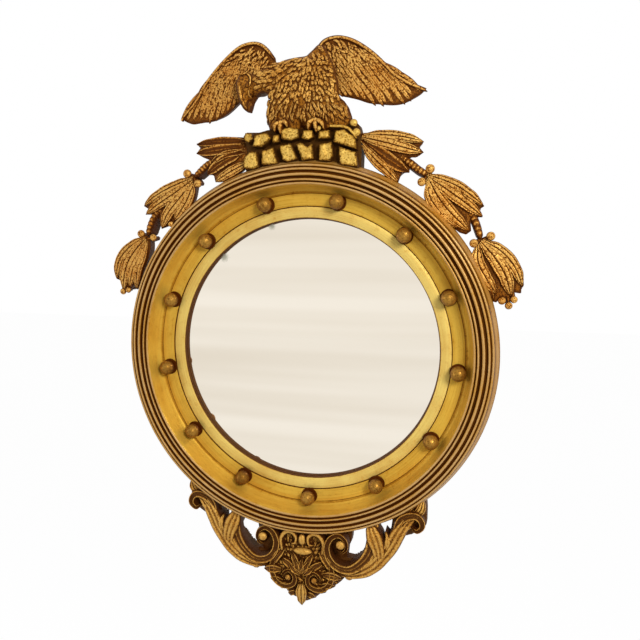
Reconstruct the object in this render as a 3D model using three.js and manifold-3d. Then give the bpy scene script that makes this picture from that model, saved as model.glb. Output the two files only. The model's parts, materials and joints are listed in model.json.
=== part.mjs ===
// Girandole mirror: a convex looking glass in a turned and reeded gilt frame with thirteen balls in
// its cove, an eagle on rocks above, leaf sprays down both sides and a scrolled apron below.
//
// World frame, in millimetres: +Z up, the mirror faces -Y, the wall is the plane y = 0, and the
// origin lies on the wall behind the centre of the glass. Every piece is drawn in the face frame
// instead: x to the right, y up, z the distance from the wall. One turned group at the end brings
// the face frame into the world frame.
import * as THREE from 'three';
import { mergeVertices } from 'three/addons/utils/BufferGeometryUtils.js';
import Module from 'manifold-3d';

const wasm = await Module();
wasm.setup();

// ---- Driving dimensions ---------------------------------------------------------------------

const FIT = 0.3; // gap left between two pieces that touch
const TURNS = 48; // facets round the turned pieces

// Frame, from its side wall inwards
const RIM_R = 215.6; // side wall
const RIM_SLOPE = 6; // how far the side slopes in towards the reeds
const REED_WIDTHS = [3.3, 4.3, 6, 4.6, 3.8]; // from the cove outwards
const REED_TOPS = [26.2, 27.8, 28.8, 28.3, 26.9]; // above the lip
const GROOVE_DEPTHS = [1.2, 2.6, 2.6, 1.2]; // between the reeds
const COVE_W = 6.4;
const COVE_FOOT = 2.2; // foot of the cove, above the lip
const BAND_W = 15.2; // band that carries the balls
const BAND_RISE = 2; // slope of the band, from the lip to the cove
const SLIP_W = 13; // slip seen between the frame's lip and the glass
const FLANGE_W = 3; // part of the slip behind the lip
const LEDGE_W = 5.3; // ledge in front of the backboard
const REBATE_W = 12.6; // rebate for the ornaments, at the back of the side wall
const REBATE_BELOW_LIP = 8;
const SIDE_ABOVE_LIP = 10; // straight part of the side wall
const SLOPE_ABOVE_LIP = 24.4; // top of the sloping side

// Stack of pieces in the frame, from the wall forwards
const WALL_GAP = 6; // wall to the back of the frame
const BOARD_T = 5;
const PACKING_T = 2.1;
const PACKING_W = 12;
const GLASS_T = 4;
const GLASS_BULGE = 10; // rise of the convex glass at its centre
const GLASS_PLAY = 0.8; // between the glass's edge and the rebate
const FLANGE_T = 4;
const LIP_T = 5.7;
const SLIP_RISE = 5.3; // inner edge of the slip, in front of the glass
const SLIP_DIP = 0.8; // front of the slip behind the front of the lip

// Balls
const BALL_COUNT = 13;
const BALL_START_DEG = 105.6;
const BALL_R = 8.9;
const BALL_INSET = 7.8; // centre of a ball, in from the cove's foot
const TENON_R = 2.4;
const TENON_L = 8;
const BALL_SIDES = 8;

// Ornaments, with heights above the rebate's floor
const WING_H = 14; // plain back of a wing
const HUSK_H = 12; // back of a leaf cluster
const LEAF_RIDGE_H = 21.5;
const STEM_EDGE_H = 15;
const DRAFT = 0.9; // slope of a carved edge
const BERRY_SIDES = 6;
const PLINTH_HALF = 65.5;
const PLINTH_TOP = 31; // above the rim

// Fixings
const SCREW_R = 1.5;
const SCREW_L = 11;
const HEAD_R = 3.2;
const HEAD_H = 1.6;
const SCREW_SIDES = 6;
const BUTTON_T = 1.2;
const BUTTON_W = 9;
const BUTTON_REACH = 19; // pivot to the inner end
const BUTTON_TAIL = 5;
const BUTTON_PIVOT_IN = 15; // pivot, in from the rebate's inner edge
const PLATE_T = 1.5;
const CREST_PLATE = { width: 50, height: 36, holeInset: 8 };
const PLATE_BELOW_WALL = 11; // how far a mending plate reaches behind the frame
const HOLE_FROM_WALL = 6.6; // its frame screws, in from the side wall
const HOLE_ABOVE_WALL = 16; // its ornament screws, out from the side wall
const HANGER_DEG = 38;
const HANGER_INSET = 14; // strap, in from the rebate's inner edge
const STRAP_W = 10;
const STRAP_T = 1.2;
const STRAP_L = 14;
const STRAP_HOLE = 9; // pivot to the screw
const WIRE_R = 1.25;
const WIRE_PLAY = 0.35;
const RING_HALF = 9.6; // D-ring, pivot line to its widest
const RING_H = 14.5;
const BUMPER_R = 7;
const BUMPER_DEG = 62;

// ---- Derived places -------------------------------------------------------------------------

const sum = (numbers) => numbers.reduce((total, value) => total + value, 0);
const slopeR = RIM_R - RIM_SLOPE;
const crestR = slopeR - sum(REED_WIDTHS);
const coveR = crestR - COVE_W;
const lipR = coveR - BAND_W;
const sightR = lipR - SLIP_W;
const rabbetR = lipR + FLANGE_W;
const ledgeR = rabbetR + LEDGE_W;
const rebateR = RIM_R - REBATE_W;
const glassR = rabbetR - GLASS_PLAY;

const boardFront = WALL_GAP + BOARD_T;
const packingBack = boardFront + FIT;
const packingFront = packingBack + PACKING_T;
const glassBack = packingFront + FIT;
const glassRim = glassBack + GLASS_T;
const slipBack = glassRim + FIT;
const flangeFront = slipBack + FLANGE_T;
const lipUnder = flangeFront + FIT;
const lipFront = lipUnder + LIP_T;
const rebateFloor = lipFront - REBATE_BELOW_LIP;
const sideTop = lipFront + SIDE_ABOVE_LIP;
const slopeTop = lipFront + SLOPE_ABOVE_LIP;
const ballR = coveR - BALL_INSET;

const glassSphere = (glassR * glassR + GLASS_BULGE * GLASS_BULGE) / (2 * GLASS_BULGE);
const glassFrontAt = (r) =>
  glassRim + GLASS_BULGE - glassSphere + Math.sqrt(glassSphere * glassSphere - r * r);

// ---- Materials ------------------------------------------------------------------------------

const finish = (color, roughness, metalness) =>
  new THREE.MeshStandardMaterial({ color, roughness, metalness });
const FINISHES = {
  gilt: () => finish(0xd9ac4c, 0.45, 0.55),
  paleGilt: () => finish(0xdcc070, 0.42, 0.55),
  agedGilt: () => finish(0xb8842f, 0.5, 0.5),
  mirror: () => finish(0xece4d4, 0.05, 1),
  wood: () => finish(0x8c6a45, 0.8, 0),
  felt: () => finish(0x5b5a55, 0.95, 0),
  steel: () => finish(0x9a9c9e, 0.4, 0.9),
  brass: () => finish(0xb8974f, 0.35, 0.9),
  rubber: () => finish(0x2a2826, 0.85, 0),
};

// ---- Solids ---------------------------------------------------------------------------------

const rad = THREE.MathUtils.degToRad;
const WELD = 1e-4; // distance below which two vertices are one

/** Six times the signed volume inside a triangle mesh. */
function signedVolume(positions, corners) {
  const [a, b, c] = [new THREE.Vector3(), new THREE.Vector3(), new THREE.Vector3()];
  let volume = 0;
  for (let i = 0; i < corners.length; i += 3) {
    a.fromArray(positions, 3 * corners[i]);
    b.fromArray(positions, 3 * corners[i + 1]);
    c.fromArray(positions, 3 * corners[i + 2]);
    volume += a.dot(b.cross(c));
  }
  return volume;
}

/** Manifold solid of a closed geometry, with its faces turned outwards. */
function solid(geometry) {
  const shell = geometry.clone();
  shell.deleteAttribute('normal');
  shell.deleteAttribute('uv');
  const welded = mergeVertices(shell, WELD);
  const positions = welded.attributes.position.array;
  const index = welded.index.array;
  const corners = [];
  for (let i = 0; i < index.length; i += 3) {
    const [a, b, c] = [index[i], index[i + 1], index[i + 2]];
    if (a !== b && b !== c && c !== a) corners.push(a, b, c);
  }
  if (signedVolume(positions, corners) < 0) corners.reverse();
  const vertProperties = new Float32Array(positions);
  const triVerts = new Uint32Array(corners);
  return new wasm.Manifold(new wasm.Mesh({ numProp: 3, vertProperties, triVerts }));
}

const join = (parts) => parts.reduce((whole, part) => whole.add(part));
const cut = (whole, tools) => tools.reduce((left, tool) => left.subtract(tool), whole);

/** Geometry of a manifold solid. */
function geometryOf(manifold) {
  const { vertProperties, triVerts } = manifold.getMesh();
  const geometry = new THREE.BufferGeometry();
  geometry.setAttribute('position', new THREE.BufferAttribute(new Float32Array(vertProperties), 3));
  geometry.setIndex(new THREE.BufferAttribute(new Uint32Array(triVerts), 1));
  geometry.computeVertexNormals();
  return geometry;
}

/** Solid turned about the z axis from [radius, z] points that start and end on the axis. */
function turned(points, segments = TURNS) {
  const profile = points.map(([r, z]) => new THREE.Vector2(r, z));
  return solid(new THREE.LatheGeometry(profile, segments).rotateX(Math.PI / 2));
}

/** Turned solid whose profile is a loop clear of the axis. */
const turnedRing = (points, segments = TURNS) => turned([...points, points[0]], segments);

/** Slab between two distances from the wall, with an outline of [x, y] points. */
function slab(outline, back, front, bevel = 0) {
  const shape = new THREE.Shape(outline.map(([x, y]) => new THREE.Vector2(x, y)));
  const geometry = new THREE.ExtrudeGeometry(shape, {
    depth: front - back - 2 * bevel,
    bevelEnabled: bevel > 0,
    bevelThickness: bevel,
    bevelSize: bevel,
    bevelOffset: -bevel,
    bevelSegments: 1,
    curveSegments: 6,
  });
  return solid(geometry.translate(0, 0, back + bevel));
}

/** Round rod along z. */
function rod(x, y, back, front, radius, sides = SCREW_SIDES) {
  const geometry = new THREE.CylinderGeometry(radius, radius, front - back, sides);
  return solid(geometry.rotateX(Math.PI / 2).translate(x, y, (front + back) / 2));
}

/** Ellipsoid with its centre and its three half axes. */
function pebble([x, y, z], [a, b, c], sides = BERRY_SIDES) {
  const rows = Math.round(sides / 2) + 1;
  const geometry = new THREE.SphereGeometry(1, sides, rows).rotateX(Math.PI / 2);
  return solid(geometry.scale(a, b, c).translate(x, y, z));
}

/** Section of a carved strip as [across, z]: a ridge, with drafted sides where it has an edge. */
function stripSection(half, { back, edge, ridge }) {
  if (edge === undefined) return [[-half, back], [0, ridge], [half, back]];
  return [[-half - DRAFT, back], [-half, edge], [0, ridge], [half, edge], [half + DRAFT, back]];
}

/** Carved strip along a flat path, with a level back and a ridge along its middle. */
function carvedStrip(path, { width, steps, ...heights }) {
  const positions = [];
  for (let i = 0; i <= steps; i += 1) {
    const t = i / steps;
    const point = path.getPoint(t);
    const along = path.getTangent(t);
    for (const [across, z] of stripSection(width(t), heights)) {
      positions.push(point.x - along.y * across, point.y + along.x * across, z);
    }
  }
  const count = stripSection(1, heights).length;
  const index = [];
  for (let i = 0; i < steps; i += 1) {
    for (let j = 0; j < count; j += 1) {
      const a = i * count + j;
      const b = i * count + ((j + 1) % count);
      index.push(a, b, a + count, b, b + count, a + count);
    }
  }
  const last = steps * count;
  for (let j = 1; j < count - 1; j += 1) {
    index.push(0, j + 1, j);
    index.push(last, last + j, last + j + 1);
  }
  const geometry = new THREE.BufferGeometry();
  geometry.setAttribute('position', new THREE.Float32BufferAttribute(positions, 3));
  geometry.setIndex(index);
  return solid(geometry);
}

/** Width along a strip that runs evenly through a list of half widths. */
function widthsThrough(halves) {
  return (t) => {
    const place = t * (halves.length - 1);
    const before = Math.min(Math.floor(place), halves.length - 2);
    return THREE.MathUtils.lerp(halves[before], halves[before + 1], place - before);
  };
}

/** Smooth flat curve through [x, y] points. */
const curveThrough = (points) => new THREE.SplineCurve(points.map(([x, y]) => new THREE.Vector2(x, y)));

const LEAF_NECK = 0.17; // where on its sine a leaf's outline starts
const LEAF_SPAN = 0.81;

/** Pointed leaf on a flat path, widest before its middle, with sides that slope from its ridge. */
function leafOn(path, half, ridge = LEAF_RIDGE_H, steps = 4) {
  return carvedStrip(path, {
    back: rebateFloor,
    ridge: rebateFloor + ridge,
    width: (t) => half * Math.sin(Math.PI * (LEAF_NECK + LEAF_SPAN * t)),
    steps,
  });
}

const mirrored = (points, side) => points.map(([x, y]) => [side * x, y]);
const raised = (points, dy) => points.map(([x, y]) => [x, y + dy]);

// ---- Frame ----------------------------------------------------------------------------------

/** Reeds and the grooves between them, from the cove outwards. */
function reedProfile() {
  const points = [];
  let r = crestR;
  REED_WIDTHS.forEach((width, i) => {
    const top = lipFront + REED_TOPS[i];
    points.push([r + 0.28 * width, top - 0.1], [r + 0.72 * width, top]);
    r += width;
    if (i < GROOVE_DEPTHS.length) points.push([r, top - GROOVE_DEPTHS[i]]);
  });
  return points;
}

/** Hollow of the cove, from its foot to the first reed. */
function coveProfile() {
  const crestZ = lipFront + REED_TOPS[0] - 1;
  const hollow = new THREE.QuadraticBezierCurve(
    new THREE.Vector2(coveR, lipFront + COVE_FOOT),
    new THREE.Vector2(crestR - 0.4, lipFront + 2 * COVE_FOOT),
    new THREE.Vector2(crestR, crestZ),
  );
  return hollow.getPoints(3).map((point) => [point.x, point.y]);
}

/** Outside of the frame in front of the rebate, grown by a gap: what the ornaments clear. */
function sideCutter() {
  const front = lipFront + Math.max(...REED_TOPS) + FIT;
  return turned([
    [0, -1],
    [RIM_R + FIT, -1],
    [RIM_R + FIT, sideTop],
    [slopeR + FIT, slopeTop + FIT],
    [slopeR - FIT, front],
    [0, front],
  ]);
}

const polar = (r, deg) => [r * Math.cos(rad(deg)), r * Math.sin(rad(deg))];
const ballAngles = Array.from({ length: BALL_COUNT }, (_, i) => BALL_START_DEG + (i * 360) / BALL_COUNT);
const buttonAngles = [0, 90, 180, 270];
const hangerAngles = [HANGER_DEG, 180 - HANGER_DEG];
const bumperAngles = [BUMPER_DEG, 180 - BUMPER_DEG, 180 + BUMPER_DEG, 360 - BUMPER_DEG];
const buttonPivotR = rebateR - BUTTON_PIVOT_IN;
const hangerR = rebateR - HANGER_INSET;
const pilotR = SCREW_R + 0.4;

/** Places of the screws that hold a mending plate: two in the frame, two in the ornament. */
function plateScrews(up) {
  const inner = RIM_R - HOLE_FROM_WALL;
  const outer = RIM_R + HOLE_ABOVE_WALL;
  const holeX = CREST_PLATE.width / 2 - CREST_PLATE.holeInset;
  return [inner, outer].flatMap((y) => [-1, 1].map((s) => [s * holeX, up * y]));
}

const strapScrewAt = (deg) => {
  const [x, y] = polar(hangerR, deg);
  return [x, y - STRAP_HOLE];
};

/** Turned frame: lip, band, cove, reeds, side wall, rebate and the rabbet for the glass. */
function frameRing() {
  const body = turnedRing([
    [lipR, lipFront],
    [lipR, lipUnder],
    [rabbetR, lipUnder],
    [rabbetR, boardFront + FIT],
    [ledgeR, boardFront + FIT],
    [ledgeR, WALL_GAP],
    [rebateR, WALL_GAP],
    [rebateR, rebateFloor],
    [RIM_R, rebateFloor],
    [RIM_R, sideTop],
    [slopeR, slopeTop],
    ...reedProfile().reverse(),
    ...coveProfile().reverse(),
    [coveR - 0.3, lipFront + BAND_RISE],
  ]);
  const seatZ = lipFront + BAND_RISE;
  const sockets = ballAngles.map((deg) => {
    const [x, y] = polar(ballR, deg);
    return rod(x, y, seatZ - TENON_L - 1, seatZ + 1, TENON_R + FIT, BALL_SIDES);
  });
  const backScrews = [
    ...buttonAngles.map((deg) => polar(buttonPivotR, deg)),
    ...hangerAngles.map(strapScrewAt),
  ].map(([x, y]) => rod(x, y, WALL_GAP - 1, WALL_GAP + SCREW_L, pilotR));
  const plateHoles = [1, -1]
    .flatMap((up) => plateScrews(up).slice(0, 2))
    .map(([x, y]) => rod(x, y, rebateFloor - 1, rebateFloor + SCREW_L, pilotR));
  return cut(body, [...sockets, ...backScrews, ...plateHoles]);
}

/** Slip: the narrow gilt band between the frame's lip and the glass. */
function slipRing() {
  const visibleR = lipR - FIT;
  const front = lipFront - SLIP_DIP;
  const edge = glassFrontAt(sightR) + SLIP_RISE;
  return turnedRing([
    [sightR, glassFrontAt(sightR) + FIT],
    [sightR, edge],
    [sightR + 0.8, edge + 0.5],
    [visibleR, front],
    [visibleR, flangeFront],
    [rabbetR - FIT, flangeFront],
    [rabbetR - FIT, slipBack],
    [glassR, slipBack],
  ]);
}

/** Convex looking glass of even thickness. */
function lookingGlass() {
  const rows = 4;
  const front = [];
  for (let i = 0; i <= rows; i += 1) {
    const r = (glassR * i) / rows;
    front.push([r, glassFrontAt(r)]);
  }
  const back = front.map(([r, z]) => [r, z - GLASS_T]).reverse();
  return turned([...front, ...back]);
}

/** Felt ring that fills the room between the glass's edge and the backboard. */
const packingRing = () =>
  turnedRing([
    [glassR - PACKING_W, packingBack],
    [glassR, packingBack],
    [glassR, packingFront],
    [glassR - PACKING_W, packingFront],
  ]);

/** Round board that closes the back. */
const backboard = () =>
  turned([
    [0, WALL_GAP],
    [ledgeR - FIT, WALL_GAP],
    [ledgeR - FIT, boardFront],
    [0, boardFront],
  ]);

/** Turned ball on its tenon, with its axis on z and its seat at z = 0. */
function ball() {
  const profile = [
    [0, -TENON_L],
    [TENON_R, -TENON_L],
  ];
  const centre = BALL_R + FIT;
  const start = Math.asin(TENON_R / BALL_R);
  const rows = 5;
  for (let i = 0; i < rows; i += 1) {
    const angle = start + ((Math.PI - start) * i) / rows;
    profile.push([BALL_R * Math.sin(angle), centre - BALL_R * Math.cos(angle)]);
  }
  profile.push([0, centre + BALL_R]);
  return turned(profile, BALL_SIDES);
}

// ---- Crest: rocks and eagle, drawn from the top of the side wall -----------------------------

const EAGLE_H = 24; // body's back plate
const EAGLE_SEAT = PLINTH_TOP + FIT;
const LEFT_SEAM = [[-52, 63], [-31.5, 107]];
const RIGHT_SEAM = [[39.5, 62.5], [12.5, 119]];

// Rocks: left, right, bottom and top of each block, and how far it stands out
const ROCKS = [
  [-65, -53, -18, 8, 30],
  [-46, -29, -14, 12, 31],
  [-25, -6, -12, 15, 32],
  [-4.5, 12, -12, 16, 33],
  [19, 34, -12, 15, 32],
  [41, 61, -14, 11, 31],
  [-56, -37, 13, 26, 30],
  [-33, -20, 17, 27, 29],
  [-1, 12, 20, 29, 31],
  [18, 30, 18, 29, 31],
  [35, 60, 14, 28, 30],
];

/** Rock plinth: a back slab on the frame's side wall with rough blocks in front. */
function rockPlinth() {
  const outline = [
    [-PLINTH_HALF, -30],
    [PLINTH_HALF, -30],
    [PLINTH_HALF, 18],
    [62, 27],
    [57, PLINTH_TOP],
    [-54, PLINTH_TOP],
    [-62, 29],
    [-PLINTH_HALF, 22],
  ];
  const blocks = ROCKS.map(([left, right, low, high, stand]) => {
    const block = [[left, low], [right, low + 1], [right - 1.2, high], [left + 1.5, high - 1.2]];
    return slab(raised(block, RIM_R), rebateFloor + 10, rebateFloor + stand, 2.2);
  });
  const back = slab(raised(outline, RIM_R), rebateFloor, rebateFloor + 22);
  const holes = plateScrews(1).slice(2)
    .map(([x, y]) => rod(x, y, rebateFloor - 1, rebateFloor + SCREW_L, pilotR));
  return cut(join([back, ...blocks]), [sideCutter(), ...holes]);
}

/** Eagle's body, head, skirts and feet on the plinth. */
function eagleBody() {
  const up = (points) => raised(points, RIM_R);
  const outline = up([
    ...LEFT_SEAM,
    [-17, 106.5], [-3, 107.5], [4, 110], [9, 115],
    RIGHT_SEAM[1], RIGHT_SEAM[0],
    [45, 58], [49, 52], [52, 46], [53, 40], [50, EAGLE_SEAT],
    [-42, EAGLE_SEAT], [-43, 40], [-41, 50], [-43, 59],
  ]);
  const at = (x, y, h) => [x, y + RIM_R, rebateFloor + h];
  const strip = (points, halves, edge, ridge, base = 0) => carvedStrip(curveThrough(up(points)), {
    back: rebateFloor + base,
    edge: rebateFloor + edge,
    ridge: rebateFloor + ridge,
    width: widthsThrough(halves),
    steps: 2 * (points.length - 1),
  });
  const parts = [
    slab(outline, rebateFloor, rebateFloor + EAGLE_H - 2, 2),
    pebble(at(-4, 84, 18), [27, 22, 16], 10),
    pebble(at(-24, 56, 18), [16, 22, 14], 8),
    pebble(at(22, 56, 18), [18, 22, 14], 8),
    strip([[-14, 84], [-42, 85], [-62, 79]], [18, 13, 9], 29, 35, EAGLE_H - 4),
    pebble(at(-65, 80, 29), [12, 11.5, 8], 8),
    strip([[-67, 76], [-69, 62], [-63, 50]], [6, 4.5, 1], 28, 33, EAGLE_H - 2),
    strip([[-28, 36], [-18, 46]], [9, 8], 27, 32),
    strip([[12, 34], [10, 46]], [9, 8], 27, 32),
  ];
  const below = slab(up([[-90, -20], [90, -20], [90, EAGLE_SEAT], [-90, EAGLE_SEAT]]), 0, 100);
  return cut(join(parts), [below]);
}

/** Wing: a plate with a raised rim, coverts and long feathers. */
function wing(outline, rim, feathers) {
  const up = (points) => raised(points, RIM_R);
  const plate = slab(up(outline), rebateFloor, rebateFloor + WING_H, 1.5);
  const rimStrip = carvedStrip(curveThrough(up(rim)), {
    back: rebateFloor + 2,
    edge: rebateFloor + WING_H + 2,
    ridge: rebateFloor + WING_H + 4.5,
    width: () => 2.6,
    steps: 7,
  });
  const blades = feathers.map(([from, to, half]) =>
    leafOn(curveThrough(up([from, to])), half, WING_H + 4.5, 3));
  return join([plate, rimStrip, ...blades]);
}

/** Left wing, folded down towards its tip. */
function leftWing() {
  const [low, high] = LEFT_SEAM.map(([x, y]) => [x - FIT, y]);
  return wing(
    [
      [-150, 50], [-146, 55], [-137, 62.5], [-127, 75], [-119, 87], [-110, 97], [-98, 108.5],
      [-82, 121.5], [-72, 127], [-61, 129.5], [-50, 127.5], [-41, 120.5], [-35, 111],
      high, low, [-66, 65], [-78, 65.5], [-88, 58], [-98, 50.5], [-110, 46], [-120, 47.5],
      [-128, 45], [-140, 46],
    ],
    [[-101, 104], [-86, 117], [-72, 124.5], [-61, 126.5], [-51, 124], [-43, 117]],
    [
      [[-78, 102], [-146, 52], 7],
      [[-72, 96], [-134, 47], 7],
      [[-66, 91], [-118, 49], 7],
      [[-60, 86], [-100, 53], 7],
      [[-56, 80], [-86, 60], 6.5],
    ],
  );
}

/** Right wing, raised and spread. */
function rightWing() {
  const [low, high] = RIGHT_SEAM.map(([x, y]) => [x + FIT, y]);
  return wing(
    [
      low, [50, 65], [60, 62.5], [72, 58.5], [85, 57], [98, 56], [111, 58], [123, 63], [130, 66.5],
      [132, 69], [130, 71.5], [118, 75], [106, 81], [97, 88], [88, 97], [75, 109.5], [60, 121.5],
      [47, 128], [33, 131.7], [21, 129.5], high,
    ],
    [[18, 125], [32, 128.5], [46, 125], [59, 118], [73, 107], [86, 94.5]],
    [
      [[50, 94], [130, 69], 7],
      [[46, 89], [118, 62], 7],
      [[44, 83], [104, 60], 7],
      [[42, 77], [88, 60], 6.5],
      [[42, 71], [70, 63], 6],
    ],
  );
}

// ---- Leaf sprays, drawn round the side wall --------------------------------------------------

// Each length of a spray has the sector it fills, its crown, its leaves from the outermost to the
// innermost as tip, half width and outward bow, its stem and its berries. Places are [degrees,
// distance out from the side wall].
const SPRAYS = [
  {
    name: 'upper',
    sector: [57.3, 88],
    crown: [75.9, 29],
    leaves: [
      { tip: [61.0, 50.5], half: 8, bow: 3 },
      { tip: [59.9, 41], half: 8, bow: 1 },
      { tip: [60.3, 14.5], half: 9, bow: -1 },
      { tip: [61.8, 1.0], half: 9, bow: -4 },
    ],
    stem: { points: [[66, 25], [60.1, 25.4], [55, 22.5]], halves: [4.5, 4, 4] },
    berries: [],
  },
  {
    name: 'middle',
    sector: [36.2, 57.3],
    crown: [55.6, 21.8],
    leaves: [
      { tip: [40.8, 39.5], half: 8.5, bow: 1.2 },
      { tip: [39.2, 31.2], half: 9, bow: 0.5 },
      { tip: [38.1, 10.5], half: 9.5, bow: -1 },
      { tip: [44, -2], half: 9.5, bow: -4 },
    ],
    stem: { points: [[43.5, 26], [38.7, 24.1], [34, 18.5]], halves: [4.5, 4, 4] },
    berries: [[55.7, 30.1], [56.0, 13.9]],
  },
  {
    name: 'lower',
    sector: [8, 36.2],
    crown: [34, 17.1],
    leaves: [
      { tip: [19.2, 36.6], half: 9, bow: 1.6 },
      { tip: [18.1, 24.5], half: 9.5, bow: 1.5 },
      { tip: [19.0, 12], half: 9.5, bow: 0 },
      { tip: [17.8, 0.7], half: 8.5, bow: -3 },
    ],
    stem: { points: [[25, 20], [20, 17], [16.5, 15.5]], halves: [6, 5, 4] },
    berries: [[33.5, 25.4], [34.2, 9.6], [17.3, 8.3], [15.3, 15.3], [16.4, 21]],
  },
];
const BERRY_R = 4.6;
const CROWN_R = 7.5;
const NOTCH_AT = 0.72; // depth of the notch between two leaves, along them

/** Place round the side wall, on the right or the left of the mirror. */
function wallPoint([deg, out], side) {
  const [x, y] = polar(RIM_R + out, deg);
  return new THREE.Vector2(side * x, y);
}

/** Leaf from a crown to a tip, bowed away from the frame. */
function sprayLeaf(crown, { tip, half, bow }, side) {
  const from = wallPoint(crown, side);
  const to = wallPoint(tip, side);
  const middle = from.clone().add(to).multiplyScalar(0.5);
  const control = middle.clone().addScaledVector(middle.clone().normalize(), 2 * bow);
  return leafOn(new THREE.QuadraticBezierCurve(from, control, to), half);
}

/** Back of a leaf cluster: an outline through its leaves, with a notch between two of them. */
function huskSlab(crown, leaves, side) {
  const from = wallPoint(crown, side);
  const tips = leaves.map(({ tip }) => wallPoint(tip, side));
  const shoulder = (i, out) => {
    const along = tips[i].clone().sub(from);
    const aside = from.clone().normalize().multiplyScalar(out * leaves[i].half);
    return from.clone().addScaledVector(along, 0.35).add(aside);
  };
  const outline = [from.clone().multiplyScalar(1 + CROWN_R / from.length()), shoulder(0, 1)];
  tips.forEach((tip, i) => {
    outline.push(from.clone().lerp(tip, 0.93));
    if (i === tips.length - 1) return;
    const between = tip.clone().add(tips[i + 1]).multiplyScalar(0.5);
    outline.push(from.clone().lerp(between, NOTCH_AT));
  });
  outline.push(shoulder(tips.length - 1, -1), from.clone().multiplyScalar(1 - CROWN_R / from.length()));
  return slab(outline.map(({ x, y }) => [x, y]), rebateFloor, rebateFloor + HUSK_H);
}

/** Room that a neighbour takes, as an outline cut through the whole depth of the mirror. */
const through = (outline) => slab(outline, -1, 2 * sideTop);

/** Sector of the face, a little short of the next length at both ends. */
function sectorRoom([low, high], side) {
  const seam = THREE.MathUtils.radToDeg(FIT / 2 / RIM_R);
  const reach = 2 * RIM_R;
  return through(mirrored([[0, 0], polar(reach, low + seam), polar(reach, high - seam)], side));
}

/** Room that the whole frame takes, also in front of its sloping side. */
function frameRoom() {
  const wall = RIM_R + FIT;
  const reach = 2 * sideTop;
  return turned([[0, -1], [wall, -1], [wall, reach], [0, reach]]);
}

/** One carved length of a leaf spray. */
function sprayLength({ sector, crown, leaves, stem, berries }, side) {
  const stemStrip = carvedStrip(new THREE.SplineCurve(stem.points.map((point) => wallPoint(point, side))), {
    back: rebateFloor,
    edge: rebateFloor + STEM_EDGE_H,
    ridge: rebateFloor + LEAF_RIDGE_H,
    width: widthsThrough(stem.halves),
    steps: 3,
  });
  const berrySolids = berries.map((place) => {
    const { x, y } = wallPoint(place, side);
    return pebble([x, y, rebateFloor + LEAF_RIDGE_H - 5.5], [BERRY_R, BERRY_R, 6]);
  });
  const { x, y } = wallPoint(crown, side);
  const bud = pebble([x, y, rebateFloor + 10], [CROWN_R, CROWN_R, 9.5], 8);
  const blades = leaves.map((leaf) => sprayLeaf(crown, leaf, side));
  const whole = join([huskSlab(crown, leaves, side), bud, stemStrip, ...berrySolids, ...blades]);
  const plinthEdge = PLINTH_HALF + FIT;
  const plinthRoom = through(mirrored(
    [[-RIM_R, 0], [plinthEdge, 0], [plinthEdge, 2 * RIM_R], [-RIM_R, 2 * RIM_R]],
    side,
  ));
  return cut(whole, [frameRoom(), plinthRoom]).intersect(sectorRoom(sector, side));
}

// ---- Apron, drawn down from the bottom of the side wall --------------------------------------

// Seam between the cartouche and a branch
const APRON_SEAM = [[29, 30], [29, -24], [44, -44], [62, -64]];
const CUP_H = 9; // low ground behind the volutes
const SHOULDER_H = 14;
const SHIELD_H = 18;

/** Carved strip of the apron through [x, y] points below the side wall. */
function apronStrip(points, halves, { edge, ridge, side = 1, perPoint = 1 }) {
  return carvedStrip(curveThrough(raised(mirrored(points, side), -RIM_R)), {
    back: rebateFloor,
    edge: rebateFloor + edge,
    ridge: rebateFloor + ridge,
    width: widthsThrough(halves),
    steps: perPoint * (points.length - 1),
  });
}

/** Leaf of the apron from a base to a tip. */
const apronLeaf = (from, to, half, side, ridge = 25) =>
  leafOn(curveThrough(raised(mirrored([from, to], side), -RIM_R)), half, ridge, 3);

/** Branch of the apron: S-shaped stem, leaf, end scroll and volute. */
function apronBranch(side) {
  const place = (points) => raised(mirrored(points, side), -RIM_R);
  const cup = slab(place([
    [20, 12], [20, -26], [44, -46], [60, -43], [75, -36], [82, -24], [80, -10], [74, -20],
    [67, -26], [58, -31], [50, -29], [50, -18], [53, -8], [55, 2], [54, 12],
  ]), rebateFloor, rebateFloor + CUP_H);
  const shoulder = slab(place([
    [105, 6], [106, 36], [133, 64], [144, 58], [144.5, 22], [136, 13], [122, 8],
  ]), rebateFloor, rebateFloor + SHOULDER_H, 2);
  const parts = [
    cup,
    shoulder,
    apronStrip(
      [[115, 20], [109, 6], [100, -10], [87, -28], [69, -39], [42, -44]],
      [8, 9.5, 9, 8, 6.5, 4.5],
      { edge: 22, ridge: 27, side, perPoint: 2 },
    ),
    apronStrip(
      [[107, 14], [112, 30], [122, 36], [133, 37], [138, 31], [138, 23], [131, 20]],
      [3.5, 4.5, 6, 6, 5, 4.5, 3],
      { edge: 20, ridge: 26, side },
    ),
    apronStrip(
      [[76, -33], [62, -38], [47, -36], [36, -26], [31.5, -11], [36, 2], [46, 6], [53, 0],
        [53.5, -9], [49, -15.5], [43, -13]],
      [3, 3.8, 4.2, 4.2, 4, 4, 3.8, 3.5, 3, 2.6, 2],
      { edge: 21, ridge: 28, side },
    ),
    apronLeaf([90, -22], [77, 22], 9.5, side),
    pebble([side * 46, -RIM_R - 8.5, rebateFloor + 18], [6, 6, 10], 8),
  ];
  const cartoucheRoom = through(place([[-90, 30], ...APRON_SEAM.map(([x, y]) => [x + FIT, y]), [-90, -120]]));
  return cut(join(parts), [sideCutter(), cartoucheRoom]);
}

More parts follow.
